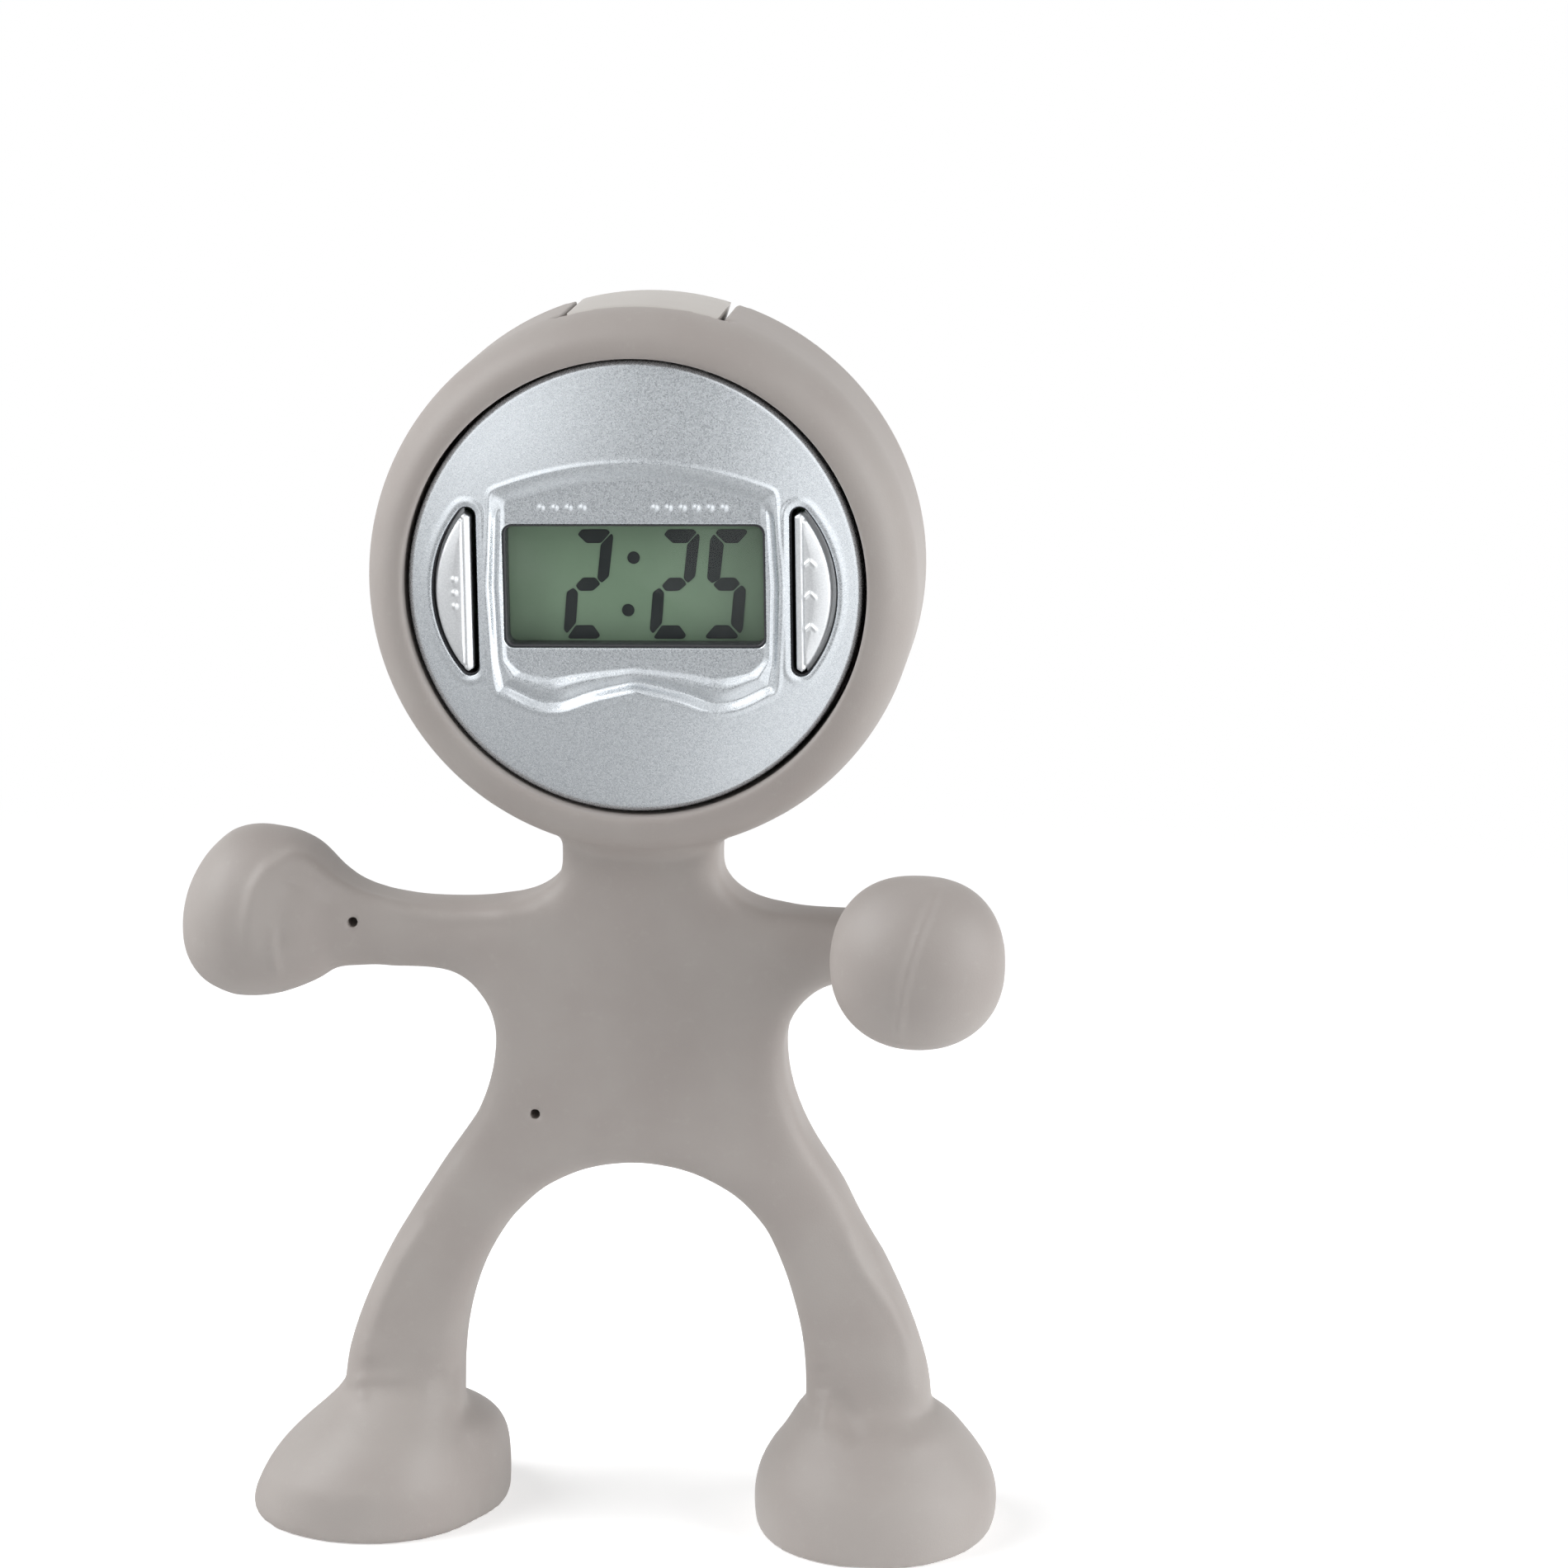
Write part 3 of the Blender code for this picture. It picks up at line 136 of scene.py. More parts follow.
class Finish:
    """The nodes of one material, or of the sky."""

    def __init__(self, name, kind="materials"):
        self.owner = getattr(bpy.data, kind).new(name)
        self.owner.use_nodes = True
        self.tree = self.owner.node_tree
        self.tree.nodes.clear()

    def node(self, kind, settings=None, sockets=None, out=0):
        """Adds a node with its settings and sockets, and hands back one of its outputs."""
        made = self.tree.nodes.new("ShaderNode" + kind)
        for key, value in (settings or {}).items():
            setattr(made, key, value)
        for key, value in (sockets or {}).items():
            if isinstance(value, Line):
                self.tree.links.new(value.socket, made.inputs[key])
            else:
                made.inputs[key].default_value = value
        return Line(self, made.outputs[out]) if made.outputs else None

    def place(self):
        """Where a spot of the piece lies, in metres."""
        return self.node("TexCoord", out="Object")

    def axes(self, place):
        return [self.node("SeparateXYZ", sockets={"Vector": place}, out=axis) for axis in range(3)]

    def noise(self, place, size, detail=2.0, rough=0.5):
        """Cloudy pattern whose patches are about this many millimetres across."""
        return self.node("TexNoise", sockets={"Vector": place, "Scale": 1 / (size * MM), "Detail": detail,
                                              "Roughness": rough})

    def flakes(self, place, size, out):
        """Cells of about this many millimetres, each with its own random value."""
        return self.node("TexVoronoi", {"feature": "F1"}, {"Vector": place, "Scale": 1 / (size * MM)}, out)

    def mix(self, share, low, high):
        """From one colour to another."""
        sockets = {0: share}
        for key, colour in ((6, low), (7, high)):
            sockets[key] = colour if isinstance(colour, Line) else (*colour, 1.0)
        return self.node("Mix", {"data_type": "RGBA"}, sockets, 2)

    def bump(self, height, depth, below=None):
        """Relief of this many millimetres for a height that runs from 0 to 1."""
        sockets = {"Height": height, "Strength": 1.0, "Distance": depth * MM}
        if below:
            sockets["Normal"] = below
        return self.node("Bump", sockets=sockets)

    def principled(self, **sockets):
        return self.node("BsdfPrincipled", sockets={key.replace("_", " "): value
                                                    for key, value in sockets.items()})

    def end(self, shader, output="OutputMaterial"):
        """Joins the last shader to the output, and hands back the material or sky."""
        self.node(output, sockets={"Surface": shader})
        return self.owner


def paint(red, green, blue):
    """A given colour, as light values."""
    return tuple((c / 255 / 12.92) if c <= 10 else ((c / 255 + 0.055) / 1.055) ** 2.4
                 for c in (red, green, blue))


def taupe_rubber():
    """Soft moulded rubber: satin, a little cloudy, with a very fine grain."""
    f = Finish("taupe_rubber")
    place = f.place()
    cloud = f.noise(place, 9.0, 3.0)
    grain = f.noise(place, 0.16, 2.0, 0.6)
    dust = f.noise(place, 0.9, 4.0, 0.6)
    colour = f.mix(cloud.between(0.3, 0.7), paint(160, 153, 149), paint(165, 159, 155))
    colour = f.mix(dust.between(0.56, 0.8) * 0.3, colour, paint(172, 167, 163))
    rough = 0.46 + 0.10 * grain + 0.06 * cloud
    normal = f.bump(grain, 0.012)
    return f.end(f.principled(Base_Color=colour, Roughness=rough, Normal=normal, Specular_IOR_Level=0.5))


def silver_paint(name, low, high, rough, flake):
    """Metallic paint: bright flakes of slightly different tilt in a satin lacquer."""
    f = Finish(name)
    place = f.place()
    cell = f.flakes(place, 0.085, 1)
    shade = f.node("SeparateColor", sockets={"Color": cell}, out=0)
    cloud = f.noise(place, 0.5, 3.0)
    colour = f.mix(shade, low, high)
    normal = f.bump(shade, flake)
    normal = f.bump(cloud, 0.004, normal)
    return f.end(f.principled(Base_Color=colour, Metallic=0.88, Roughness=rough + 0.06 * shade,
                              Normal=normal, Coat_Weight=0.25, Coat_Roughness=0.25))


def moulded_plastic(name, low, high, rough, grain_size, grain_depth):
    """Moulded plastic, rubber or resin: a faintly cloudy colour and a fine grain."""
    f = Finish(name)
    place = f.place()
    cloud = f.noise(place, 4.0, 3.0)
    grain = f.noise(place, grain_size, 2.0)
    return f.end(f.principled(Base_Color=f.mix(cloud, low, high), Roughness=rough + 0.1 * grain,
                              Normal=f.bump(grain, grain_depth)))


def display_green():
    """Grey-green glass of the display, with the faintest mottling."""
    f = Finish("display_glass")
    place = f.place()
    cloud = f.noise(place, 3.0, 2.0)
    fine = f.noise(place, 0.14, 1.0)
    colour = f.mix(cloud, paint(127, 148, 126), paint(134, 155, 132))
    return f.end(f.principled(Base_Color=colour, Roughness=0.32 + 0.06 * fine, Normal=f.bump(fine, 0.002)))


def display_ink():
    """The dark segments of the display."""
    f = Finish("display_ink")
    cloud = f.noise(f.place(), 0.6, 2.0)
    return f.end(f.principled(Base_Color=f.mix(cloud, paint(6, 12, 17), paint(11, 17, 22)),
                              Roughness=0.35 + 0.1 * cloud))


def clear_lens():
    """Clear window: light goes straight through but for a weak mirror of the room."""
    f = Finish("clear_lens")
    haze = f.noise(f.place(), 1.4, 3.0)
    through = f.node("BsdfTransparent", sockets={"Color": (0.96, 0.98, 0.97, 1)})
    mirror = f.principled(Base_Color=(0.9, 0.92, 0.92, 1), Metallic=1.0, Roughness=0.06 + 0.06 * haze)
    front = 1 - f.node("NewGeometry", out="Backfacing")
    share = f.node("Fresnel", sockets={"IOR": 1.45}) * 0.35 * front
    return f.end(f.node("MixShader", sockets={0: share, 1: through, 2: mirror}))


def bright_metal(name, low, high, rough):
    """Drawn or stamped metal with fine lines along it."""
    f = Finish(name)
    place = f.place()
    brushed = f.node("Mapping", sockets={"Vector": place, "Scale": (1.0, 14.0, 1.0)})
    lines = f.noise(brushed, 0.5, 3.0)
    return f.end(f.principled(Base_Color=f.mix(lines, low, high), Metallic=1.0,
                              Roughness=rough + 0.15 * lines, Normal=f.bump(lines, 0.003)))


def circuit_green():
    """Solder mask over faint copper tracks."""
    f = Finish("board_green")
    place = f.place()
    tracks = f.node("TexVoronoi", {"feature": "DISTANCE_TO_EDGE"},
                    {"Vector": place, "Scale": 1 / (2.4 * MM)}, 0)
    track = 1 - tracks.between(0.05, 0.09)
    grain = f.noise(place, 0.2)
    colour = f.mix(track, (0.03, 0.13, 0.05), (0.06, 0.24, 0.10))
    return f.end(f.principled(Base_Color=colour, Roughness=0.3 + 0.1 * grain, Normal=f.bump(track, 0.03)))


rubber = taupe_rubber()
face_silver = silver_paint("silver_paint", (0.53, 0.565, 0.60), (0.69, 0.725, 0.76), 0.25, 0.0022)
button_silver = silver_paint("button_silver", (0.66, 0.68, 0.70), (0.76, 0.78, 0.80), 0.30, 0.002)
pale_case = moulded_plastic("pale_case", paint(186, 181, 176), paint(194, 190, 185), 0.38, 0.2, 0.008)
dark_plastic = moulded_plastic("dark_plastic", (0.028, 0.028, 0.032), (0.045, 0.045, 0.05), 0.5, 0.2, 0.01)
dark_rubber = moulded_plastic("dark_rubber", (0.02, 0.02, 0.02), (0.035, 0.035, 0.035), 0.7, 0.12, 0.015)
black_resin = moulded_plastic("black_resin", (0.012, 0.012, 0.015), (0.02, 0.02, 0.022), 0.15, 0.9, 0.02)
display_glass = display_green()
ink = display_ink()
lens_clear = clear_lens()
steel = bright_metal("bright_steel", (0.52, 0.53, 0.54), (0.62, 0.63, 0.64), 0.22)
brass = bright_metal("contact_brass", (0.66, 0.50, 0.26), (0.76, 0.60, 0.33), 0.25)
board_green = circuit_green()

slot_finish = {
    "taupe_rubber": rubber, "silver_paint": face_silver, "button_silver": button_silver,
    "pale_case": pale_case, "clear_lens": lens_clear, "display_glass": display_glass,
    "dark_plastic": dark_plastic, "dark_rubber": dark_rubber, "board_green": board_green,
    "black_resin": black_resin, "bright_steel": steel, "contact_brass": brass,
}
for subpart in frame["record"]["subparts"]:
    node = nodes[subpart["node"]]
    for material_slot in node.material_slots:
        material_slot.material = slot_finish[subpart["material_slot"]]


# Shapes

def ease(share):
    """Goes from 0 to 1 with soft ends."""
    share = min(max(share, 0.0), 1.0)
    return share * share * (3 - 2 * share)


def eased(values):
    """The same for an array."""
    values = np.clip(values, 0, 1)
    return values * values * (3 - 2 * values)


def bell(share):
    """A smooth bump: 1 at 0, and 0 from 1 outwards."""
    return np.where(np.abs(share) < 1, np.cos(np.clip(share, -1, 1) * math.pi / 2) ** 2, 0)


def unit(rows):
    """Each row at length one."""
    return rows / np.linalg.norm(rows, axis=1)[:, None]


def flowing(points, steps):
    """Rows along a smooth curve through the given rows."""
    points = np.array(points, float)
    padded = np.vstack([2 * points[0] - points[1], points, 2 * points[-1] - points[-2]])
    rows = []
    for a, b, c, d in zip(padded, padded[1:], padded[2:], padded[3:]):
        for t in np.arange(steps) / steps:
            rows.append((2 * b + (c - a) * t + (2 * a - 5 * b + 4 * c - d) * t * t
                         + (3 * b - a - 3 * c + d) * t ** 3) / 2)
    rows.append(points[-1])
    return np.array(rows)


def oval(half_a, half_b, power, count=72):
    """A closed rounded outline: power 2 is an ellipse, higher powers are squarer."""
    angle = np.arange(count) * 2 * math.pi / count
    c, s = np.cos(angle), np.sin(angle)
    return np.c_[half_a * np.sign(c) * np.abs(c) ** (2 / power),
                 half_b * np.sign(s) * np.abs(s) ** (2 / power)]


def bow(middle_x, middle_z, radius_x, radius_z, start, end, count):
    """An open arc between two angles in degrees."""
    angle = np.radians(np.linspace(start, end, count + 1))
    return np.c_[middle_x + radius_x * np.cos(angle), middle_z + radius_z * np.sin(angle)]


def circle(radius, u=0.0, v=0.0, count=120):
    """A closed round outline."""
    return bow(u, v, radius, radius, 0, 360, count)[:-1]


def beside(points, outline):
    """How far each point lies outside a closed outline (negative inside), and the nearest spots on it."""
    nearest_far = np.full(len(points), 1e9)
    spots = np.zeros_like(points)
    inside = np.zeros(len(points), bool)
    for a, b in zip(outline, np.roll(outline, -1, 0)):
        along = b - a
        share = np.clip(((points - a) @ along) / (along @ along), 0, 1)
        nearest = a + share[:, None] * along
        far = ((points - nearest) ** 2).sum(1)
        better = far < nearest_far
        nearest_far[better] = far[better]
        spots[better] = nearest[better]
        if a[1] != b[1]:
            crossing = (a[1] > points[:, 1]) != (b[1] > points[:, 1])
            inside ^= crossing & (points[:, 0] < a[0] + (points[:, 1] - a[1]) * along[0] / along[1])
    far = np.sqrt(nearest_far)
    return np.where(inside, -far, far), spots


def piece_of(name, made, finish, place=to_figure):
    """An object from a mesh drawn in millimetres, put in its place."""
    bmesh.ops.recalc_face_normals(made, faces=made.faces)
    mesh = bpy.data.meshes.new(name)
    made.to_mesh(mesh)
    made.free()
    mesh.transform(place)
    mesh.materials.append(finish)
    piece = bpy.data.objects.new(name, mesh)
    scene.collection.objects.link(piece)
    mesh.shade_smooth()
    return piece


def bridge(made, rings):
    """Joins each closed ring of vertices to the next."""
    for low, high in zip(rings, rings[1:]):
        for index in range(len(low)):
            after = (index + 1) % len(low)
            made.faces.new((low[index], low[after], high[after], high[index]))


def loft(name, rings, finish):
    """Skins a row of closed outlines and closes its two ends."""
    made = bmesh.new()
    drawn = [[made.verts.new(point) for point in ring] for ring in rings]
    bridge(made, drawn)
    for ring in (drawn[0], drawn[-1]):
        rim = [made.edges.get(pair) for pair in zip(ring, ring[1:] + ring[:1])]
        bmesh.ops.triangle_fill(made, edges=rim, use_beauty=True)
    return piece_of(name, made, finish)


def hoop(name, rings, finish, place=to_figure):
    """Skins a row of closed outlines that comes back to its first."""
    made = bmesh.new()
    drawn = [[made.verts.new(point) for point in ring] for ring in rings]
    bridge(made, drawn + drawn[:1])
    return piece_of(name, made, finish, place)


def apply_modifier(piece, kind, **settings):
    """Gives a piece a modifier and applies it."""
    modifier = piece.modifiers.new(kind, kind)
    for key, value in settings.items():
        setattr(modifier, key, value)
    bpy.context.view_layer.objects.active = piece
    piece.select_set(True)
    bpy.ops.object.modifier_apply(modifier=modifier.name)
    piece.select_set(False)


def cut_away(piece, tool):
    """Takes the tool's shape out of a piece."""
    apply_modifier(piece, "BOOLEAN", operation="DIFFERENCE", object=tool, solver="EXACT")
    bpy.data.objects.remove(tool)


# The rubber figure

def leg_inner(height):
    """Distance of a leg's inner side from the middle line."""
    share = min(max((height - ANKLE_UP) / (CROTCH_UP - ANKLE_UP), 0), 1)
    return 15.1 * (1 - share ** 2.15) ** (1 / 2.15)


def leg_outer(height):
    """Distance of a leg's outer side from the middle line."""
    share = max((height - ANKLE_UP) / (HIP_UP - ANKLE_UP), 0)
    return 25.3 - 6.9 * share ** 1.5


def torso_half():
    """Right half of the torso's outline, from the neck down to the crotch."""
    waist, waist_up, flare_up, leg_end = 12.2, 42.8, 35.3, 26.0
    flare = leg_outer(flare_up) - waist
    share = np.linspace(0.1, 1, 10)
    outer_heights = np.linspace(flare_up, leg_end, 10)[1:]
    inner_heights = leg_end + (CROTCH_UP - leg_end) * np.sin(np.linspace(0, math.pi / 2, 20))[:-1]
    return np.vstack([
        [(6.6, 61.5)],
        bow(12.5, 58.2, 5.9, 3.7, 180, 270, 16),
        [(13.6, 54.4), (15.9, 53.2), (15.9, 49.2)],
        bow(17.4, waist_up, 5.2, 5.5, 108, 180, 14),
        np.c_[waist + flare * share ** 2, waist_up - 7.5 * share],
        [(leg_outer(z) - 1.1 * ease((30.5 - z) / 4.5), z) for z in outer_heights],
        [(leg_inner(z) + 1.1 * ease((30.5 - z) / 4.5), z) for z in inner_heights],
    ])


def torso_half_depth(x, z):
    """Half the torso's thickness, which thins at the shoulders and the hips."""
    at_shoulder = 0.5 * ease((abs(x) - 10.5) / 5) * (z > 45)
    at_hip = 0.3 * ease((31 - z) / 4)
    return 3.7 - at_shoulder - at_hip


def torso():
    """Flat torso with round edges, in layers from front to back."""
    half = torso_half()
    outline = np.vstack([half, [(0, CROTCH_UP)], (half * (-1, 1))[::-1]])
    along = unit(np.roll(outline, -1, 0) - np.roll(outline, 1, 0))
    inward = np.c_[along[:, 1], -along[:, 0]]
    rings = []
    for depth in np.sin(np.linspace(-math.pi / 2, math.pi / 2, 25)):
        bend = max((abs(depth) - 0.4) / 0.6, 0) ** 1.4
        inset = 2.3 * (1 - math.sqrt(max(1 - bend * bend, 0)))
        rings.append([(x, depth * torso_half_depth(x, z), z) for x, z in outline + inward * inset])
    return loft("torso_form", rings, rubber)


def neck():
    """Short neck that widens into the ring."""
    stations = [(50.8, 6.4, 3.5), (58.2, 6.4, 3.5), (60.05, 6.4, 4.95), (61.55, 8.6, 6.2), (63.05, 8.6, 6.2)]
    rings = [[(x, y, up) for x, y in oval(half_width, half_depth, 3.2)]
             for up, half_width, half_depth in flowing(stations, 8)]
    return loft("neck_form", rings, rubber)


def ring_profile():
    """Section of the ring, radius and depth, from the bore round the front to the back."""
    lip = bow(19.3, -7.9, 0.3, 0.3, 180, 270, 8)
    turn = np.radians(np.linspace(0, 90, 40))[1:]
    bulge = np.c_[19.3 + 3.35 * np.sin(turn) ** 0.9, -8.2 + 5.2 * (1 - np.cos(turn))]
    back = np.vstack([[(22.65, 6.8)], bow(21.45, 6.8, 1.2, 1.2, 0, 90, 8)[1:], [(19.0, 8.0)]])
    return np.vstack([lip, bulge, back])


def head_ring():
    """The thick ring of the head, with the cut-out on top that the clock's tab sits in."""
    angle = np.arange(256) * 2 * math.pi / 256
    rings = [np.c_[radius * np.sin(angle), np.full(len(angle), depth), HEAD_UP + radius * np.cos(angle)]
             for radius, depth in ring_profile()]
    ring = hoop("ring_form", rings, rubber)
    middle_x, middle_up = CLOCK_MIDDLE.x, CLOCK_MIDDLE.z
    inner, outer = 17, 25
    half = math.radians(TAB_SEAT_HALF_TURN) + 0.3 / 22.5
    angle = np.linspace(-half, half, 25)
    outline = np.vstack([np.c_[inner * np.sin(angle), inner * np.cos(angle)],
                         np.c_[outer * np.sin(angle), outer * np.cos(angle)][::-1]])
    layers = [[(middle_x + x, y, middle_up + z) for x, z in outline] for y in (-3.4, 9.5)]
    cut_away(ring, loft("slot", layers, rubber))
    for side in (-1, 1):
        outward = np.array([math.sin(side * half * 0.98), math.cos(side * half * 0.98)])
        across = np.array([outward[1], -outward[0]])
        rounds = []
        for reach in (inner, outer):
            x, z = outward * reach
            rounds.append([(middle_x + x + a * across[0], -3.1 + b, middle_up + z + a * across[1])
                           for a, b in oval(0.6, 0.6, 2, 24)])
        cut_away(ring, loft("relief", rounds, rubber))
    return ring


def left_arm():
    """Straight arm that swells into a ball fist. Each station is across, up, half height, half depth."""
    stations = [(9.7, 51.4, 3.1, 3.6), (13.0, 51.4, 3.1, 3.45), (16.5, 51.35, 3.05, 3.3),
                (20.3, 51.5, 3.03, 3.25), (22.4, 51.75, 3.2, 3.3), (23.8, 51.95, 3.5, 3.45),
                (24.8, 52.2, 3.8, 3.7), (25.9, 52.5, 4.35, 4.15), (26.9, 52.65, 5.2, 4.8),
                (28.0, 52.8, 5.95, 5.4), (29.6, 52.82, 6.68, 6.1), (31.1, 52.75, 7.1, 6.5),
                (32.7, 52.7, 7.3, 6.6), (34.3, 52.56, 7.15, 6.45), (35.3, 52.43, 6.75, 6.1),
                (36.3, 52.18, 6.1, 5.5), (37.15, 51.94, 5.35, 4.8), (37.9, 51.7, 4.35, 3.9),
                (38.5, 51.5, 3.2, 2.9), (38.9, 51.3, 1.9, 1.7), (39.0, 51.3, 0.6, 0.5)]
    rings = []
    for x, middle, half_height, half_depth in flowing(stations, 5):
        power = 3.2 - 1.1 * ease((x - 24.05) / 8.75)
        rings.append([(-x, y, middle + z) for y, z in oval(half_depth, half_height, power)])
    return loft("left_arm_form", rings, rubber)


def right_arm():
    """Arm that curls forward to a ball fist, in rings square to its path."""
    fist_across, fist_forward, fist_up, fist_radius = 24.0, -14.5, 53.8, 7.1
    stations = [(9.7, 0, ARM_UP, 3.1, 3.6), (13.0, 0, ARM_UP, 3.1, 3.45), (16.5, 0, ARM_UP, 3.1, 3.3)]
    for x_share, y_share, rise_share in ((0.55, -0.10, 0.15), (0.92, -0.27, 0.35), (1.06, -0.44, 0.60)):
        stations.append((16.5 + 7.5 * x_share, 14.5 * y_share, ARM_UP + 2.4 * rise_share, 3.1, 3.3))
    for along, high, deep in ((-0.80, 0.62, 0.60), (-0.50, 0.88, 0.87), (0.0, 1.0, 1.0), (0.42, 0.92, 0.92),
                              (0.74, 0.68, 0.68), (0.93, 0.39, 0.39), (1.0, 0.10, 0.10)):
        stations.append((fist_across, fist_forward - 6.4 * along, fist_up,
                         fist_radius * high, fist_radius * deep))
    rows = flowing(stations, 6)
    rings = []
    for index, (x, y, middle, half_height, half_depth) in enumerate(rows):
        ahead = rows[min(index + 1, len(rows) - 1)][:2] - rows[max(index - 1, 0)][:2]
        ahead /= np.linalg.norm(ahead)
        power = 3.2 - 1.1 * ease(2.1 * index / len(rows) - 0.6)
        rings.append([(x - ahead[1] * a, y + ahead[0] * a, middle + b)
                      for a, b in oval(half_depth, half_height, power)])
    return loft("right_arm_form", rings, rubber)


# Sections of each foot: height, middle across, middle along, half width, half length
LEFT_FOOT = [(0.0, 22.95, 1.25, 10.1, 11.1), (0.6, 22.95, 1.25, 10.3, 11.35),
             (1.9, 22.8, 1.15, 10.15, 11.45), (4.1, 22.4, 0.95, 9.5, 11.4), (5.65, 22.05, 1.1, 8.75, 10.9),
             (7.2, 21.65, 0.75, 7.7, 9.6), (8.75, 21.3, 0.4, 6.45, 7.9), (10.35, 20.8, 0.15, 5.45, 6.0),
             (11.6, 20.4, 0.0, 5.0, 4.7)]
LEFT_HEEL = [(0.0, 18.6, 3.5, 6.65, 8.8), (0.6, 18.6, 3.5, 6.85, 9.0), (3.0, 18.6, 3.4, 6.9, 8.9),
             (5.5, 18.6, 3.2, 6.7, 8.4), (7.2, 18.8, 2.6, 6.3, 7.4), (8.3, 18.9, 2.0, 5.4, 6.4),
             (9.2, 19.1, 1.5, 4.4, 5.2), (10.4, 19.5, 1.0, 3.3, 3.8), (11.6, 19.8, 0.5, 2.6, 2.8)]
RIGHT_FOOT = [(0.0, 20.25, 1.2, 9.75, 11.4), (0.6, 20.3, 1.2, 10.15, 11.45),
              (1.95, 20.35, 1.1, 10.35, 11.3), (3.66, 20.35, 0.95, 10.3, 10.95),
              (5.37, 20.3, 0.7, 9.85, 10.2), (7.08, 20.25, 0.45, 8.97, 9.0), (8.54, 20.25, 0.25, 7.95, 7.8),
              (9.9, 20.1, 0.1, 7.0, 6.8), (11.2, 19.75, 0.0, 5.95, 4.7)]


def section(side, up, x, y, half_width, half_depth, turn, power):
    """One level outline of a foot or leg, turned about its own middle."""
    c, s = math.cos(turn), math.sin(turn)
    return [(side * (x + a * c + b * s), y - a * s + b * c, max(up, 0.0))
            for a, b in oval(half_width, half_depth, power)]


def foot(name, side, rows, toe_turn):
    """A domed foot on its flat sole."""
    rings = [section(side, up, x, y, half_width, half_length, toe_turn * (1 - ease(up / ANKLE_UP)), 2.1)
             for up, x, y, half_width, half_length in flowing(rows, 4)]
    return loft(name, rings, rubber)


def leg(name, side, thicker):
    """Arched leg from inside the foot up into the torso; thicker is 1 for the fuller one, else 0."""
    stations = []
    start = ANKLE_UP * 0.8
    for share in (0.0, 0.10, 0.24, 0.40, 0.56, 0.72, 0.88, 1.0):
        height = start + (HIP_UP - start) * share
        inner = leg_inner(height) - 0.75 * thicker * ease((29.5 - height) / 9)
        outer = leg_outer(height) - 0.28 * thicker
        half_depth = (8.4 - 1.0 * ease(share * 2)) / 2
        stations.append((height, (inner + outer) / 2, 0, (outer - inner) / 2, half_depth, 0,
                         2.7 + 0.5 * share))
    for share in (0.35, 0.7, 1.0):
        height = HIP_UP + 4.6 * share
        inner = max(leg_inner(height), 7.5) + share
        outer = leg_outer(height) - 0.28 * thicker - 1.3 * share
        stations.append((height, (inner + outer) / 2, 0, (outer - inner) / 2, 3.65 - 0.5 * share, 0, 3.2))
    return loft(name, [section(side, *row) for row in flowing(stations, 4)], rubber)


def join(pieces, name):
    """Makes several pieces one, and hands that back."""
    bpy.ops.object.select_all(action="DESELECT")
    for piece in pieces:
        piece.select_set(True)
    bpy.context.view_layer.objects.active = pieces[0]
    bpy.ops.object.join()
    pieces[0].name = name
    bpy.ops.object.select_all(action="DESELECT")
    return pieces[0]


def vectors(elements, name):
    """One vector of each element of a mesh, as rows."""
    rows = np.empty(len(elements) * 3)
    elements.foreach_get(name, rows)
    return rows.reshape(-1, 3)


def places_of(mesh):
    """Vertices of a mesh in millimetres from the figure's own middle line."""
    return (vectors(mesh.vertices, "co") - np.array(MIDDLE)) / MM


def put_places(mesh, rows):
    """Puts such rows back into the mesh."""
    mesh.vertices.foreach_set("co", (rows * MM + np.array(MIDDLE)).ravel())
    mesh.update()


def true_ring(rows):
    """Draws the remeshed ring back on to its turned section."""
    x, z = rows[:, 0], rows[:, 2] - HEAD_UP
    radius = np.hypot(x, z)
    angle = np.degrees(np.arctan2(x, z))
    near = (radius > 18.6) & (radius < 23.2)
    slot = (np.abs(angle) < 19.5) & (rows[:, 1] > -5.0)
    neck_side = (np.abs(angle) > 148) & (radius > 21.0)
    chosen = np.nonzero(near & ~slot & ~neck_side)[0]
    far, spots = beside(np.c_[radius[chosen], rows[chosen, 1]], ring_profile())
    close = np.abs(far) < 0.5
    kept, spots = chosen[close], spots[close]
    # The lip of the bore comes down a little at the top
    sag = 0.22 * np.maximum(np.cos(np.radians(angle[kept])), 0) ** 2.5
    sag *= eased((-6.9 - spots[:, 1]) / 0.5) * (1 - eased((spots[:, 0] - 19.1) / 1.6))
    scale = (spots[:, 0] - sag) / radius[kept]
    rows[kept, 0] = x[kept] * scale
    rows[kept, 2] = HEAD_UP + z[kept] * scale
    rows[kept, 1] = spots[:, 1]
    # The outside lies a little to the right, and the bore a little to the left
    outer = eased((radius - 19.2) / 3.0)
    shift = (0.24 * outer - 0.10) * (x / np.maximum(radius, 1)) ** 2
    rows[:, 0] += shift * eased((rows[:, 2] - 60.5) / 4)
    return rows


def near_line(flat, line):
    """Distance of each point from an open line, and how far along it the nearest spot lies."""
    best, share = np.full(len(flat), 1e9), np.zeros(len(flat))
    reach = np.r_[0, np.cumsum(np.linalg.norm(np.diff(line, axis=0), axis=1))]
    for start, end, before in zip(line, line[1:], reach):
        along = end - start
        place = np.clip(((flat - start) @ along) / (along @ along), 0, 1)
        far = np.linalg.norm(flat - start - place[:, None] * along, axis=1)
        better = far < best
        best[better] = far[better]
        share[better] = (before + place[better] * np.linalg.norm(along)) / reach[-1]
    return best, share


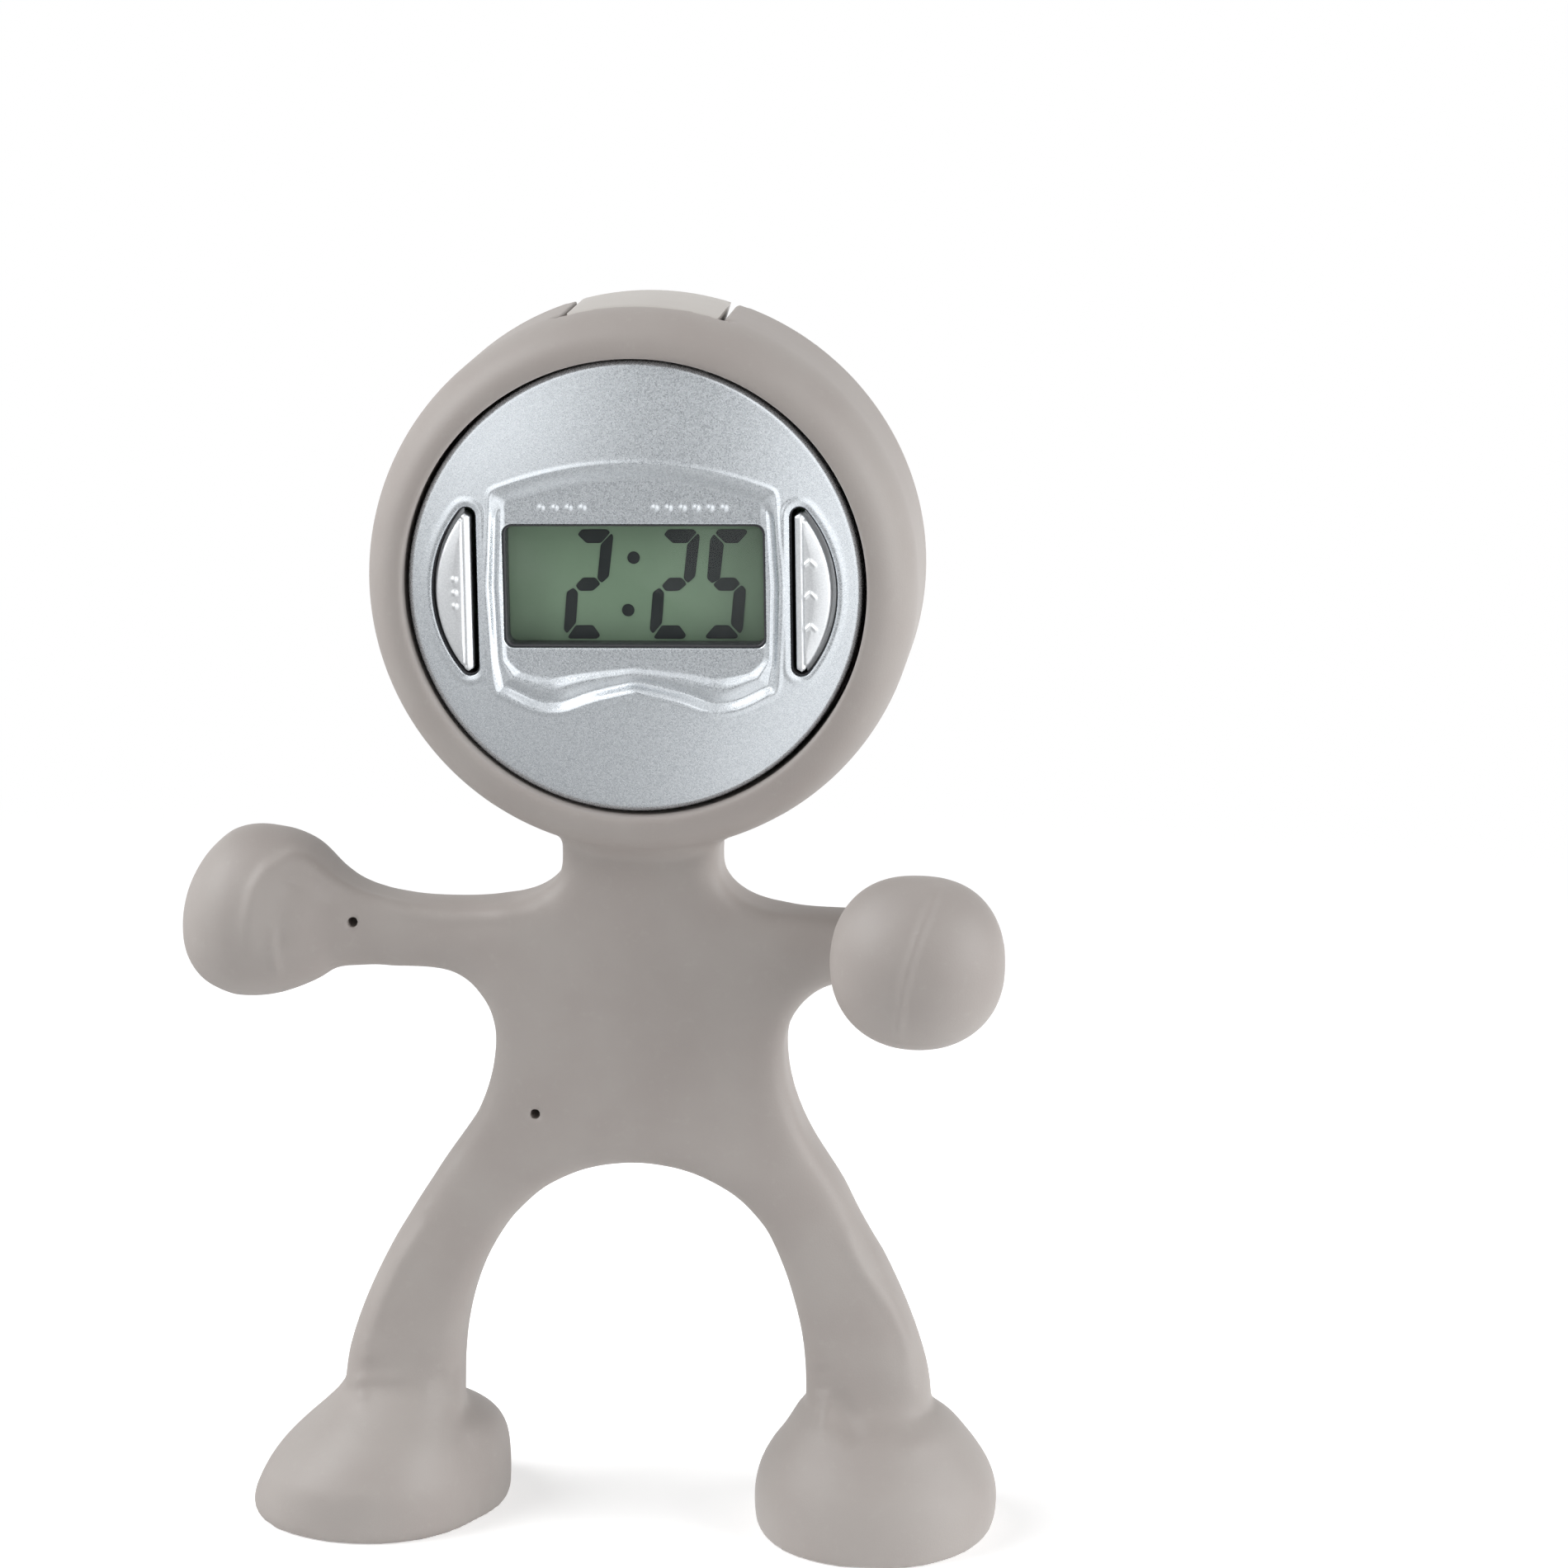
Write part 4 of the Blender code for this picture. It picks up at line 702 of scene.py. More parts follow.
def link_ends(mesh):
    """The two vertices of each edge."""
    ends = np.empty(len(mesh.edges) * 2, int)
    mesh.edges.foreach_get("vertices", ends)
    return ends.reshape(-1, 2)


def soften(rows, ends, weight, passes):
    """Evens the skin where the weight says so."""
    both = np.r_[ends[:, 0], ends[:, 1]]
    other = np.r_[ends[:, 1], ends[:, 0]]
    count = np.maximum(np.bincount(both, minlength=len(rows)), 1)
    for _ in range(passes):
        mean = np.stack([np.bincount(both, rows[other, axis], len(rows)) / count for axis in range(3)], 1)
        rows += weight[:, None] * 0.6 * (mean - rows)
    return rows


# Where the skin is evened: middle and reach across, along and up
SOFT_SPOTS = [((0, 0, CROTCH_UP), (5, 6, 3))]
for side in (-1, 1):
    SOFT_SPOTS += [((side * 16, 0, 51.4), (6, 8, 6)), ((side * 16.2, 0, 29.5), (7.5, 8, 7)),
                   ((side * 5.0, 0, 31.0), (4.5, 7, 3.5)), ((side * 9.3, 0, 29.0), (4.5, 8, 5)),
                   ((side * 20.0, -5.5, 11.6), (5.2, 5, 4.4)), ((side * 20.0, 5.5, 11.6), (5.2, 5, 4.4))]

# Raised and sunk marks on the front of the rubber: line, half width, height
MARKS = [
    ([(-8.5, 54.4), (-11.5, 53.7), (-15.2, 53.3), (-19.4, 53.6), (-23.2, 54.8), (-25.1, 56.1), (-26.6, 57.4),
      (-27.8, 58.1), (-29.2, 58.3), (-31.0, 57.4), (-31.9, 55.9), (-32.4, 53.4), (-32.5, 50.3)], 1.0, 0.26),
    ([(-28.4, 56.4), (-29.4, 54.8), (-29.9, 52.8), (-29.8, 50.5)], 2.2, -0.42),
    ([(-26.6, 54.6), (-27.2, 52.4), (-27.0, 50.0)], 2.2, -0.25),
    ([(-30.3, 52.8), (-30.4, 50.4), (-30.1, 48.4)], 0.65, 0.22),
    ([(26.2, 61.9), (24.6, 57.9), (23.7, 55.1), (23.2, 52.7), (22.7, 48.1)], 0.6, 0.22),
    ([(-26.2, 11.4), (-23.0, 12.8), (-19.4, 13.1)], 0.9, 0.10),
    ([(-16.4, 13.4), (-15.9, 11.4)], 1.9, -0.35),
    ([(-23.6, 12.9), (-23.3, 10.9)], 1.1, 0.22),
    ([(-23.0, 16.4), (-22.9, 14.3)], 0.9, 0.15),
    ([(15.6, 15.4), (16.2, 13.0)], 1.9, -0.42),
    ([(16.3, 12.0), (16.1, 10.2)], 1.2, 0.40),
    ([(17.0, 13.4), (18.0, 11.6), (19.4, 9.8)], 1.5, -0.30),
    ([(17.4, 27.4), (19.1, 24.1), (21.6, 20.7), (22.9, 18.1), (23.3, 15.5)], 1.0, 0.20),
    ([(-17.6, 27.0), (-20.0, 23.2), (-21.8, 19.4), (-22.6, 16.4)], 1.0, 0.18),
]


def add_marks(rows, normals):
    """Raises and sinks the marks along the skin's own normals."""
    front = eased((-normals[:, 1] - 0.1) / 0.4)
    flat = rows[:, (0, 2)]
    for line, half_width, height in MARKS:
        line = np.array(line)
        within = (flat > line.min(0) - half_width) & (flat < line.max(0) + half_width)
        near = within.all(1) & (front > 0)
        far, share = near_line(flat[near], line)
        ends = eased(share / 0.12) * eased((1 - share) / 0.12)
        lift = height * bell(far / half_width) * (0.35 + 0.65 * ends) * front[near]
        rows[near] += normals[near] * lift[:, None]
    return rows


def rubber_skin():
    """One seamless skin over ring, neck, torso, arms and legs."""
    toe_turn = math.radians(-15)
    skin = join([
        torso(), neck(), head_ring(), left_arm(), right_arm(),
        leg("left_leg_form", -1, 0), leg("right_leg_form", 1, 1),
        foot("left_foot_form", -1, LEFT_FOOT, toe_turn), foot("left_heel_form", -1, LEFT_HEEL, 0),
        foot("right_foot_form", 1, RIGHT_FOOT, 0),
    ], "rubber_skin")
    apply_modifier(skin, "REMESH", mode="VOXEL", voxel_size=0.36 * MM, adaptivity=0.0)
    apply_modifier(skin, "SMOOTH", factor=0.5, iterations=8)
    mesh = skin.data
    rows = places_of(mesh)
    weight = np.zeros(len(rows))
    for spot, reach in SOFT_SPOTS:
        weight = np.maximum(weight, eased((1 - np.linalg.norm((rows - spot) / reach, axis=1)) / 0.4))
    put_places(mesh, soften(rows, link_ends(mesh), weight, 40))
    normals = vectors(mesh.vertex_normals, "vector")
    put_places(mesh, add_marks(true_ring(places_of(mesh)), normals))
    return skin


def pin_hole(made, x, z, radius=0.46):
    """A small round hole that a core pin left in the front of the rubber."""
    middle = to_figure @ Vector((x, 0, z))
    taken = []
    for face in made.faces:
        if face.normal.y < -0.5:
            away = face.calc_center_median() - middle
            if math.hypot(away.x, away.z) < (radius + 0.12) * MM:
                taken.append(face)
    bmesh.ops.delete(made, geom=taken, context="FACES")
    rim = [edge for edge in made.edges if edge.is_boundary
           and math.hypot(edge.verts[0].co.x - middle.x, edge.verts[0].co.z - middle.z) < 1.4 * MM]
    for wide, deep in ((radius, 0.0), (radius * 0.93, 0.12), (radius * 0.9, 2.2)):
        if deep:
            made_edges = bmesh.ops.extrude_edge_only(made, edges=rim)["geom"]
            rim = [part for part in made_edges if isinstance(part, bmesh.types.BMEdge)]
        for vert in {vert for edge in rim for vert in edge.verts}:
            away = Vector((vert.co.x - middle.x, 0, vert.co.z - middle.z)).normalized() * wide * MM
            vert.co = (middle.x + away.x, vert.co.y + deep * MM, middle.z + away.z)
    bmesh.ops.contextual_create(made, geom=rim)


# Where each limb leaves the body: a point of the cut and its way outwards
CUTS = {
    "left_arm": ((-SHOULDER_CUT, 0, 0), (-1, 0, 0)),
    "right_arm": ((SHOULDER_CUT, 0, 0), (1, 0, 0)),
    "left_leg": ((0, 0, HIP_CUT_UP), (0, 0, -1)),
    "right_leg": ((0, 0, HIP_CUT_UP), (0, 0, -1)),
}


def in_limb(limb, face):
    """Whether a face of the cut skin belongs to that limb."""
    spot = (face.calc_center_median() - MIDDLE) / MM
    outward = -spot.x if "left" in limb else spot.x
    if "arm" in limb:
        return outward > SHOULDER_CUT and 44 < spot.z < 62
    return outward > 0 and spot.z < HIP_CUT_UP


def near_cut(limb, face):
    """Whether a face lies at the height of that limb's cut."""
    up = ((face.calc_center_median() - MIDDLE) / MM).z
    return 30 < up < 62 if "arm" in limb else up < 45


def limb_piece(limb, faces, layer):
    """A new piece from faces of the skin, with the normals that they have there."""
    part = bmesh.new()
    part_layer = part.verts.layers.float_vector.new("rest_normal")
    match = {}
    for face in faces:
        for vert in face.verts:
            if vert not in match:
                match[vert] = part.verts.new(vert.co)
                match[vert][part_layer] = vert[layer]
        part.faces.new([match[vert] for vert in face.verts])
    mesh = bpy.data.meshes.new(limb + "_skin")
    part.to_mesh(mesh)
    part.free()
    mesh.materials.append(rubber)
    piece = bpy.data.objects.new(limb + "_skin", mesh)
    scene.collection.objects.link(piece)
    return piece


def split_skin(skin):
    """Cuts the limbs from the skin at planes where nothing bends yet."""
    made = bmesh.new()
    made.from_mesh(skin.data)
    made.normal_update()
    pin_hole(made, -24.1, 52.7)
    pin_hole(made, -8.6, 36.7)
    made.normal_update()
    layer = made.verts.layers.float_vector.new("rest_normal")
    for vert in made.verts:
        vert[layer] = vert.normal
    for limb, (point, outward) in CUTS.items():
        faces = [face for face in made.faces if near_cut(limb, face)]
        verts = {vert for face in faces for vert in face.verts}
        edges = {edge for face in faces for edge in face.edges}
        bmesh.ops.bisect_plane(made, geom=[*faces, *verts, *edges], plane_co=to_figure @ Vector(point),
                               plane_no=outward)
    parts = {}
    for limb in CUTS:
        taken = [face for face in made.faces if in_limb(limb, face)]
        parts[limb] = limb_piece(limb, taken, layer)
        bmesh.ops.delete(made, geom=taken, context="FACES")
    made.to_mesh(skin.data)
    made.free()
    parts["torso"] = skin
    for piece in parts.values():
        mesh = piece.data
        mesh.shade_smooth()
        normals = vectors(mesh.attributes["rest_normal"].data, "vector")
        mesh.normals_split_custom_set_from_vertices(normals.tolist())
        mesh.attributes.remove(mesh.attributes["rest_normal"])
    return parts


parts = split_skin(rubber_skin())
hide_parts("rubber_body")
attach(parts["torso"], "torso")
# Two spots on each limb, the first at its cut; the loops below use only the limb names
bends = {
    "left_arm": ((-SHOULDER_CUT, 0, ARM_UP), (-19.4, 0, ARM_UP)),
    "right_arm": ((SHOULDER_CUT, 0, ARM_UP), (17.6, 0, ARM_UP)),
    "left_leg": ((-13.6, 0, HIP_CUT_UP), (-13.6, 0, 24.5)),
    "right_leg": ((13.6, 0, HIP_CUT_UP), (13.6, 0, 24.5)),
}
for limb, (start, end) in bends.items():
    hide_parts(limb)
    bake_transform(parts[limb])


# Middle lines of the wires
WIRE_LINES = {
    "left_arm": [(-2.2, 0, 51.4), (-9.7, 0, 51.3), (-16.5, 0, 51.4), (-21.7, 0, 52.45), (-26.9, 0, 52.95),
                 (-32.8, 0, 52.7)],
    "right_arm": [(2.2, 0, 51.4), (9.8, 0.25, 51.35), (16.5, 0, 51.4), (20.8, -1.6, 51.7),
                  (23.4, -3.9, 52.25), (24.1, -6.6, 53.1), (24.0, -9.4, 53.8), (24.0, -14.5, 53.8)],
    "right_leg": [(4.6, 0, 42.5), (7.2, 0, 38.8), (10.2, 0, 34.3), (13.6, 0, 29.0), (17.0, 0, 23.4),
                  (19.3, 0, 17.7), (20.2, 0, 12.2), (20.2, 0, 6.0)],
}
WIRE_LINES["left_leg"] = [(-x, y, z) for x, y, z in WIRE_LINES["right_leg"]]


def wire(limb, line):
    """The bent steel wire inside a limb, with rounded ends."""
    middle = flowing(line, 14)
    along = unit(np.gradient(middle, axis=0))
    side = unit(np.cross(along, (0, 1, 0) if "leg" in limb else (0, 0, 1)))
    over = np.cross(along, side)
    radius = np.full(len(middle), 0.8)
    radius[[0, -1]], radius[[1, -2]] = 0.45, 0.72
    around = np.linspace(0, math.tau, 17)[:-1]
    rings = [[spot + reach * (a * math.cos(turn) + b * math.sin(turn)) for turn in around]
             for spot, reach, a, b in zip(middle, radius, side, over)]
    piece = loft(limb + "_wire_round", rings, steel)
    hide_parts(limb + "_wire")
    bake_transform(piece)


for limb, (start, end) in bends.items():
    wire(limb, WIRE_LINES[limb])


def grip_bead():
    """Soft lip in the bore that holds the clock and closes the gap round it."""
    clock_x, clock_up = CLOCK_MIDDLE.x, CLOCK_MIDDLE.z
    rings = [[(middle_x + x, y, up + z) for x, z in circle(radius, count=180)]
             for radius, middle_x, up, y in ((18.5, clock_x, clock_up, 0.0), (19.15, 0, HEAD_UP, -0.8),
                                             (19.15, 0, HEAD_UP, 5.6), (18.5, clock_x, clock_up, 4.8))]
    bead = hoop("grip_bead", rings, rubber)
    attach(bead, "torso")


grip_bead()


# The clock face

def evened(outline, spacing=0.12, passes=0):
    """The same closed outline with even steps; passes of averaging round its corners."""
    closed = np.vstack([outline, outline[:1]])
    reach = np.r_[0, np.cumsum(np.linalg.norm(np.diff(closed, axis=0), axis=1))]
    places = np.linspace(0, reach[-1], int(reach[-1] / spacing) + 1)[:-1]
    even = np.c_[np.interp(places, reach, closed[:, 0]), np.interp(places, reach, closed[:, 1])]
    for _ in range(passes):
        even = (np.roll(even, 1, 0) + 2 * even + np.roll(even, -1, 0)) / 4
    return even


def panel_outline():
    """The dished panel of the face: bowed on top, straight at the sides and waved below."""
    share = np.linspace(-1, 1, 41)
    top = np.c_[11.6 * share, 7.8 + 2.3 * (1 - share * share)]
    right = flowing([(12, 0), (11.64, -8.05), (10.8, -8.96), (8.31, -10.15), (6.04, -10.3), (3.55, -9.45),
                     (0, -8.6)], 10)
    left = (right[:-1] * (-1, 1))[::-1]
    return evened(np.vstack([top, right, left]), passes=16)


def rounded_box(half_width, half_height, corner, steps=8):
    """A closed box outline with round corners."""
    sides = []
    for x, z, start in ((1, 1, 0), (-1, 1, 90), (-1, -1, 180), (1, -1, 270)):
        sides.append(bow(x * (half_width - corner), z * (half_height - corner), corner, corner,
                         start, start + 90, steps))
    return np.vstack(sides)


def button_outline(side, shrink=0.0, steps=40):
    """The D-shaped outline of a button's pocket, straight towards the display."""
    middle, corner_x, radius, corner = 6.0, 13.6, 10.6, 0.8
    corner_up = math.sqrt((radius - corner) ** 2 - (corner_x - middle) ** 2)
    angle = math.degrees(math.atan2(corner_up, corner_x - middle))
    rows = np.vstack([
        bow(middle, 0, radius - shrink, radius - shrink, -angle, angle, steps),
        bow(corner_x, corner_up, corner - shrink, corner - shrink, angle, 180, 8)[1:],
        bow(corner_x, -corner_up, corner - shrink, corner - shrink, 180, 360 - angle, 8)[:-1],
    ])
    return rows * (side, 1) + (0, BUTTON_UP)


def lines_between(*stretches):
    """Grid lines: each stretch is (start, end, pitch)."""
    places = []
    for start, end, pitch in stretches:
        count = max(int(round((end - start) / pitch)), 1)
        places += list(np.linspace(start, end, count + 1)[:-1])
    return np.array(places + [stretches[-1][1]])


def flat_grid(name, across, upward):
    """A flat piece on the given grid lines, and its mesh to edit."""
    columns, rows = len(across) - 1, len(upward) - 1
    bpy.ops.mesh.primitive_grid_add(x_subdivisions=columns, y_subdivisions=rows, size=2)
    piece = bpy.context.object
    piece.name = name
    made = bmesh.new()
    made.from_mesh(piece.data)
    for vert in made.verts:
        column = int(round((vert.co.x + 1) / 2 * columns))
        row = int(round((vert.co.y + 1) / 2 * rows))
        vert.co = (across[column], 0, upward[row])
    return piece, made


def trim(made, borders):
    """Takes away the faces that lie past a border, and those left hanging by one side."""
    centres = np.array([face.calc_center_median().xz for face in made.faces])
    lost = np.zeros(len(centres), bool)
    for outline, side, roundness, _ in borders:
        lost |= beside(centres, outline)[0] * side > -roundness
    bmesh.ops.delete(made, geom=[face for face, gone in zip(made.faces, lost) if gone], context="FACES")
    thin = [face for face in made.faces if sum(edge.is_boundary for edge in face.edges) >= 3]
    bmesh.ops.delete(made, geom=thin, context="FACES")


def settle_rim(made, borders):
    """Draws the stepped rim on to its borders and evens the two rows next to it.

    Hands back the rim's vertices, the number of each one's border and its way outwards.
    """
    rim = [vert for vert in made.verts if vert.is_boundary]
    flat = np.array([vert.co.xz for vert in rim])
    owner = np.array([np.abs(np.abs(beside(flat, outline)[0]) - roundness)
                      for outline, _, roundness, _ in borders]).argmin(0)
    order = {vert: index for index, vert in enumerate(rim)}
    linked = [[order[edge.other_vert(vert)] for edge in vert.link_edges if edge.is_boundary] for vert in rim]
    before, after = np.array([both[:2] for both in linked]).T
    outwards = np.zeros_like(flat)
    for turn in range(5):
        if turn:
            flat = (flat * 2 + flat[before] + flat[after]) / 4
        for index, (outline, side, roundness, _) in enumerate(borders):
            mine = owner == index
            far, spots = beside(flat[mine], outline)
            way = (flat[mine] - spots) / np.where(np.abs(far) < 1e-6, 1, far)[:, None]
            flat[mine] = spots - way * roundness * side
            outwards[mine] = way * side
    for vert, (u, v) in zip(rim, flat):
        vert.co = (u, 0, v)
    ring = set(rim)
    for _ in range(2):
        ring |= {edge.other_vert(vert) for vert in list(ring) for edge in vert.link_edges}
    inner = [vert for vert in ring if not vert.is_boundary]
    for _ in range(3):
        moved = [sum((edge.other_vert(vert).co for edge in vert.link_edges), Vector()) / len(vert.link_edges)
                 for vert in inner]
        for vert, point in zip(inner, moved):
            vert.co = point
    return rim, owner, outwards


def add_wall(made, ways, roundness, wall):
    """Grows the rounded edge of one border and the wall behind it; ways holds each vertex's way outwards."""
    turns = np.radians((22.5, 45, 67.5, 90))
    steps = [(roundness * math.sin(turn), None, roundness * (1 - math.cos(turn))) for turn in turns]
    steps += [(roundness + out, y, 0) for out, y in wall]
    spot = {vert: Vector(vert.co) for vert in ways}
    loop_edges = [edge for edge in made.edges
                  if edge.is_boundary and edge.verts[0] in ways and edge.verts[1] in ways]
    current = {vert: vert for vert in ways}
    for out, y, drop in steps:
        after = {}
        for vert, way in ways.items():
            x, z = spot[vert].x + way[0] * out, spot[vert].z + way[1] * out
            after[vert] = made.verts.new((x, spot[vert].y + drop if y is None else y, z))
        for edge in loop_edges:
            a, b = edge.verts
            made.faces.new((current[a], current[b], after[b], after[a]))
        current = after


def sheet(name, across, upward, borders, depth, finish, place=to_clock):
    """A shell whose front follows a depth map.

    Each border is (outline, side, roundness, wall): side 1 keeps what lies inside the outline and -1
    what lies outside, and wall lists the steps (outward, depth) that follow the rounded edge.
    """
    piece, made = flat_grid(name, across, upward)
    trim(made, borders)
    rim, owner, outwards = settle_rim(made, borders)
    places = np.array([vert.co.xz for vert in made.verts])
    for vert, y in zip(made.verts, depth(places[:, 0], places[:, 1])):
        vert.co.y = y
    for index, (_, _, roundness, wall) in enumerate(borders):
        ways = {vert: way for vert, which, way in zip(rim, owner, outwards) if which == index}
        add_wall(made, ways, roundness, wall)
    back_edges = [edge for edge in made.edges if edge.is_boundary]
    bmesh.ops.triangle_fill(made, edges=back_edges, use_beauty=True)
    bmesh.ops.recalc_face_normals(made, faces=made.faces)
    mesh = piece.data
    made.to_mesh(mesh)
    made.free()
    mesh.materials.clear()
    mesh.materials.append(finish)
    mesh.transform(place)
    mesh.shade_smooth()
    piece.select_set(False)
    return piece


panel = panel_outline()
pockets = {-1: evened(button_outline(-1)), 1: evened(button_outline(1))}


def face_depth(u, v):
    """The dome of the face with its dished panel, beads and raised marks; smaller is further forward."""
    flat = np.c_[u, v]
    y = -7.0 - 1.2 * (1 - (u * u + (v - FACE_UP) ** 2) / FACE_RADIUS ** 2)
    in_panel = -beside(flat, panel)[0]
    low = eased((-v - 5.8) / 2.4)
    high = eased((v - 5.6) / 1.8)
    cove = 0.52 + 0.95 * high + 0.3 * low
    down = eased(in_panel / cove)
    y = y + down * (-7.2 - y)
    crest, half_width = 0.86 + 0.95 * low, 0.36 + 1.0 * low
    y -= (0.12 + 0.18 * low) * (1 - high) * bell((in_panel - crest) / half_width)
    y -= (0.06 - 0.02 * low) * bell((in_panel + 0.12) / 0.34)
    for outline in pockets.values():
        y -= 0.06 * bell((beside(flat, outline)[0] - 0.45) / 0.42)
    for start, count in ((-7.45, 4), (1.85, 6)):
        for index in range(count):
            y -= 0.09 * bell(np.hypot(u - start - 1.13 * index, v - 6.45) / 0.36)
    return y


def clock_face():
    """The silver front of the clock, with its openings for the window and the buttons."""
    side_lines = lines_between((-18.6, -13.0, 0.15), (-13.0, -12.4, 0.10), (-12.4, -10.75, 0.062),
                               (-10.75, -8, 0.16), (-8, 0, 0.13))
    across = np.r_[side_lines, -side_lines[-2::-1]]
    upward = lines_between((-18.8, -10.9, 0.155), (-10.9, -6.0, 0.095), (-6.0, -5.1, 0.12), (-5.1, 5.1, 0.17),
                           (5.1, 7.4, 0.115), (7.4, 10.4, 0.085), (10.4, 18.6, 0.155))
    inside = -6.2
    borders = [
        (circle(FACE_RADIUS, 0, FACE_UP, 300), 1, 0.45, [(0, -1.0), (-1.1, -1.0), (-1.1, inside)]),
        (rounded_box(*WINDOW), -1, 0.10, [(0, inside)]),
        (pockets[-1], -1, 0.12, [(0, inside)]),
        (pockets[1], -1, 0.12, [(0, inside)]),
    ]
    face = sheet("clock_face", across, upward, borders, face_depth, face_silver)
    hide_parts("face_bezel")
    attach(face, "torso")


def shade_lining(name, outer, inner, front, back):
    """Thin dark lining of an opening in the face; its black is painted shade for the shadow deep in the gap.
    """
    rings = [[(u, y, v) for u, v in outline]
             for outline, y in ((outer, front), (inner, front), (inner, back), (outer, back))]
    collar = hoop(name, rings, dark_plastic, to_clock)
    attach(collar, "torso")


def push_button(name, node, side):
    """Cap with a crowned front, a narrow facet along the straight side and a raised sign."""
    outline = evened(button_outline(side, 0.45), 0.1)

    def depth(u, v):
        """The left button has three raised dots and the right one three raised strokes."""
        across = np.abs(u)
        flat = np.c_[u, v]
        reach = -beside(flat, outline)[0]
        y = -8.0 - 0.16 * (1 - np.clip(1 - reach / 1.6, 0, 1) ** 2)
        from_straight = across - 13.25
        y += 0.16 * bell((from_straight - 0.62) / 0.16)
        y += 0.14 * (1 - eased(from_straight / 0.62))
        if side < 0:
            for up in (-1.5, -0.4, 0.7):
                y -= 0.12 * bell(np.hypot(across - 14.6, v - up) / 0.34)
        else:
            for up in (-3.0, -0.35, 2.3):
                slope = np.abs(v - up + 0.9 * np.abs(across - 14.45))
                y -= 0.13 * bell(slope / 0.24) * (1 - eased((np.abs(across - 14.45) - 0.42) / 0.16))
        return y

    inner = lines_between((13.0, 14.1, 0.06), (14.1, 16.3, 0.09))
    across = inner if side > 0 else -inner[::-1]
    upward = lines_between((-7.2, 6.4, 0.085))
    cap = sheet(name, across, upward, [(outline, 1, 0.28, [(0, -5.85)])], depth, button_silver)
    stem = turned(name + "_stem", [(0, -5.8), (1.1, -5.8), (1.1, -3.2), (1.0, -3.1), (0, -3.1)], 32,
                  button_silver, side * BUTTON_ACROSS, BUTTON_UP)
    foot_outline = evened(button_outline(side, 0.05), 0.3)
    foot_outline[:, 0] = side * np.maximum(foot_outline[:, 0] * side, 13.95)
    flange = plate(name + "_flange", foot_outline, -5.9, -5.4, button_silver)
    cap = join([cap, stem, flange], name)
    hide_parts(node)
    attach(cap, node)
    # The well is painted shade: a dark lining that blackens the gap round the cap, where shadow falls
    shade_lining(name + "_well", button_outline(side, 0.01), button_outline(side, 0.10), -7.12, -5.2)


def dressed(piece, finish, place):
    """Gives the new piece, still active and selected, its finish, its place and its shading."""
    piece.data.materials.append(finish)
    piece.data.transform(place)
    bpy.ops.object.shade_smooth_by_angle(angle=math.radians(30))
    piece.select_set(False)
    return piece


def turned(name, profile, count, finish, u=0.0, v=0.0, place=to_clock):
    """Spins a section (radius, depth) round the depth axis."""
    bpy.ops.mesh.primitive_circle_add(vertices=3, radius=1)
    piece = bpy.context.object
    piece.name = name
    made = bmesh.new()
    row = [made.verts.new((radius, y, 0)) for radius, y in profile]
    edges = [made.edges.new(pair) for pair in zip(row, row[1:])]
    bmesh.ops.spin(made, geom=row + edges, cent=(0, 0, 0), axis=(0, 1, 0), angle=math.tau, steps=count,
                   use_merge=True)
    bmesh.ops.remove_doubles(made, verts=made.verts, dist=1e-5)
    bmesh.ops.recalc_face_normals(made, faces=made.faces)
    for vert in made.verts:
        vert.co += Vector((u, 0, v))
    made.to_mesh(piece.data)
    made.free()
    return dressed(piece, finish, place)


def plate(name, outline, front, back, finish, softened=0.0, place=to_clock):
    """A flat outline pushed out to a thickness, with its edges bevelled where softened says how far."""
    bpy.ops.mesh.primitive_circle_add(vertices=len(outline), radius=1, fill_type="NGON")
    piece = bpy.context.object
    piece.name = name
    for vert, (u, v) in zip(piece.data.vertices, outline):
        vert.co = (u, back, v)
    bpy.ops.object.mode_set(mode="EDIT")
    bpy.ops.mesh.select_all(action="SELECT")
    bpy.ops.mesh.extrude_region_move(TRANSFORM_OT_translate={"value": (0, front - back, 0)})
    if softened:
        bpy.ops.mesh.bevel(offset=softened, segments=2, profile=0.5, affect="EDGES")
    bpy.ops.mesh.select_all(action="SELECT")
    bpy.ops.mesh.normals_make_consistent(inside=False)
    bpy.ops.object.mode_set(mode="OBJECT")
    return dressed(piece, finish, place)


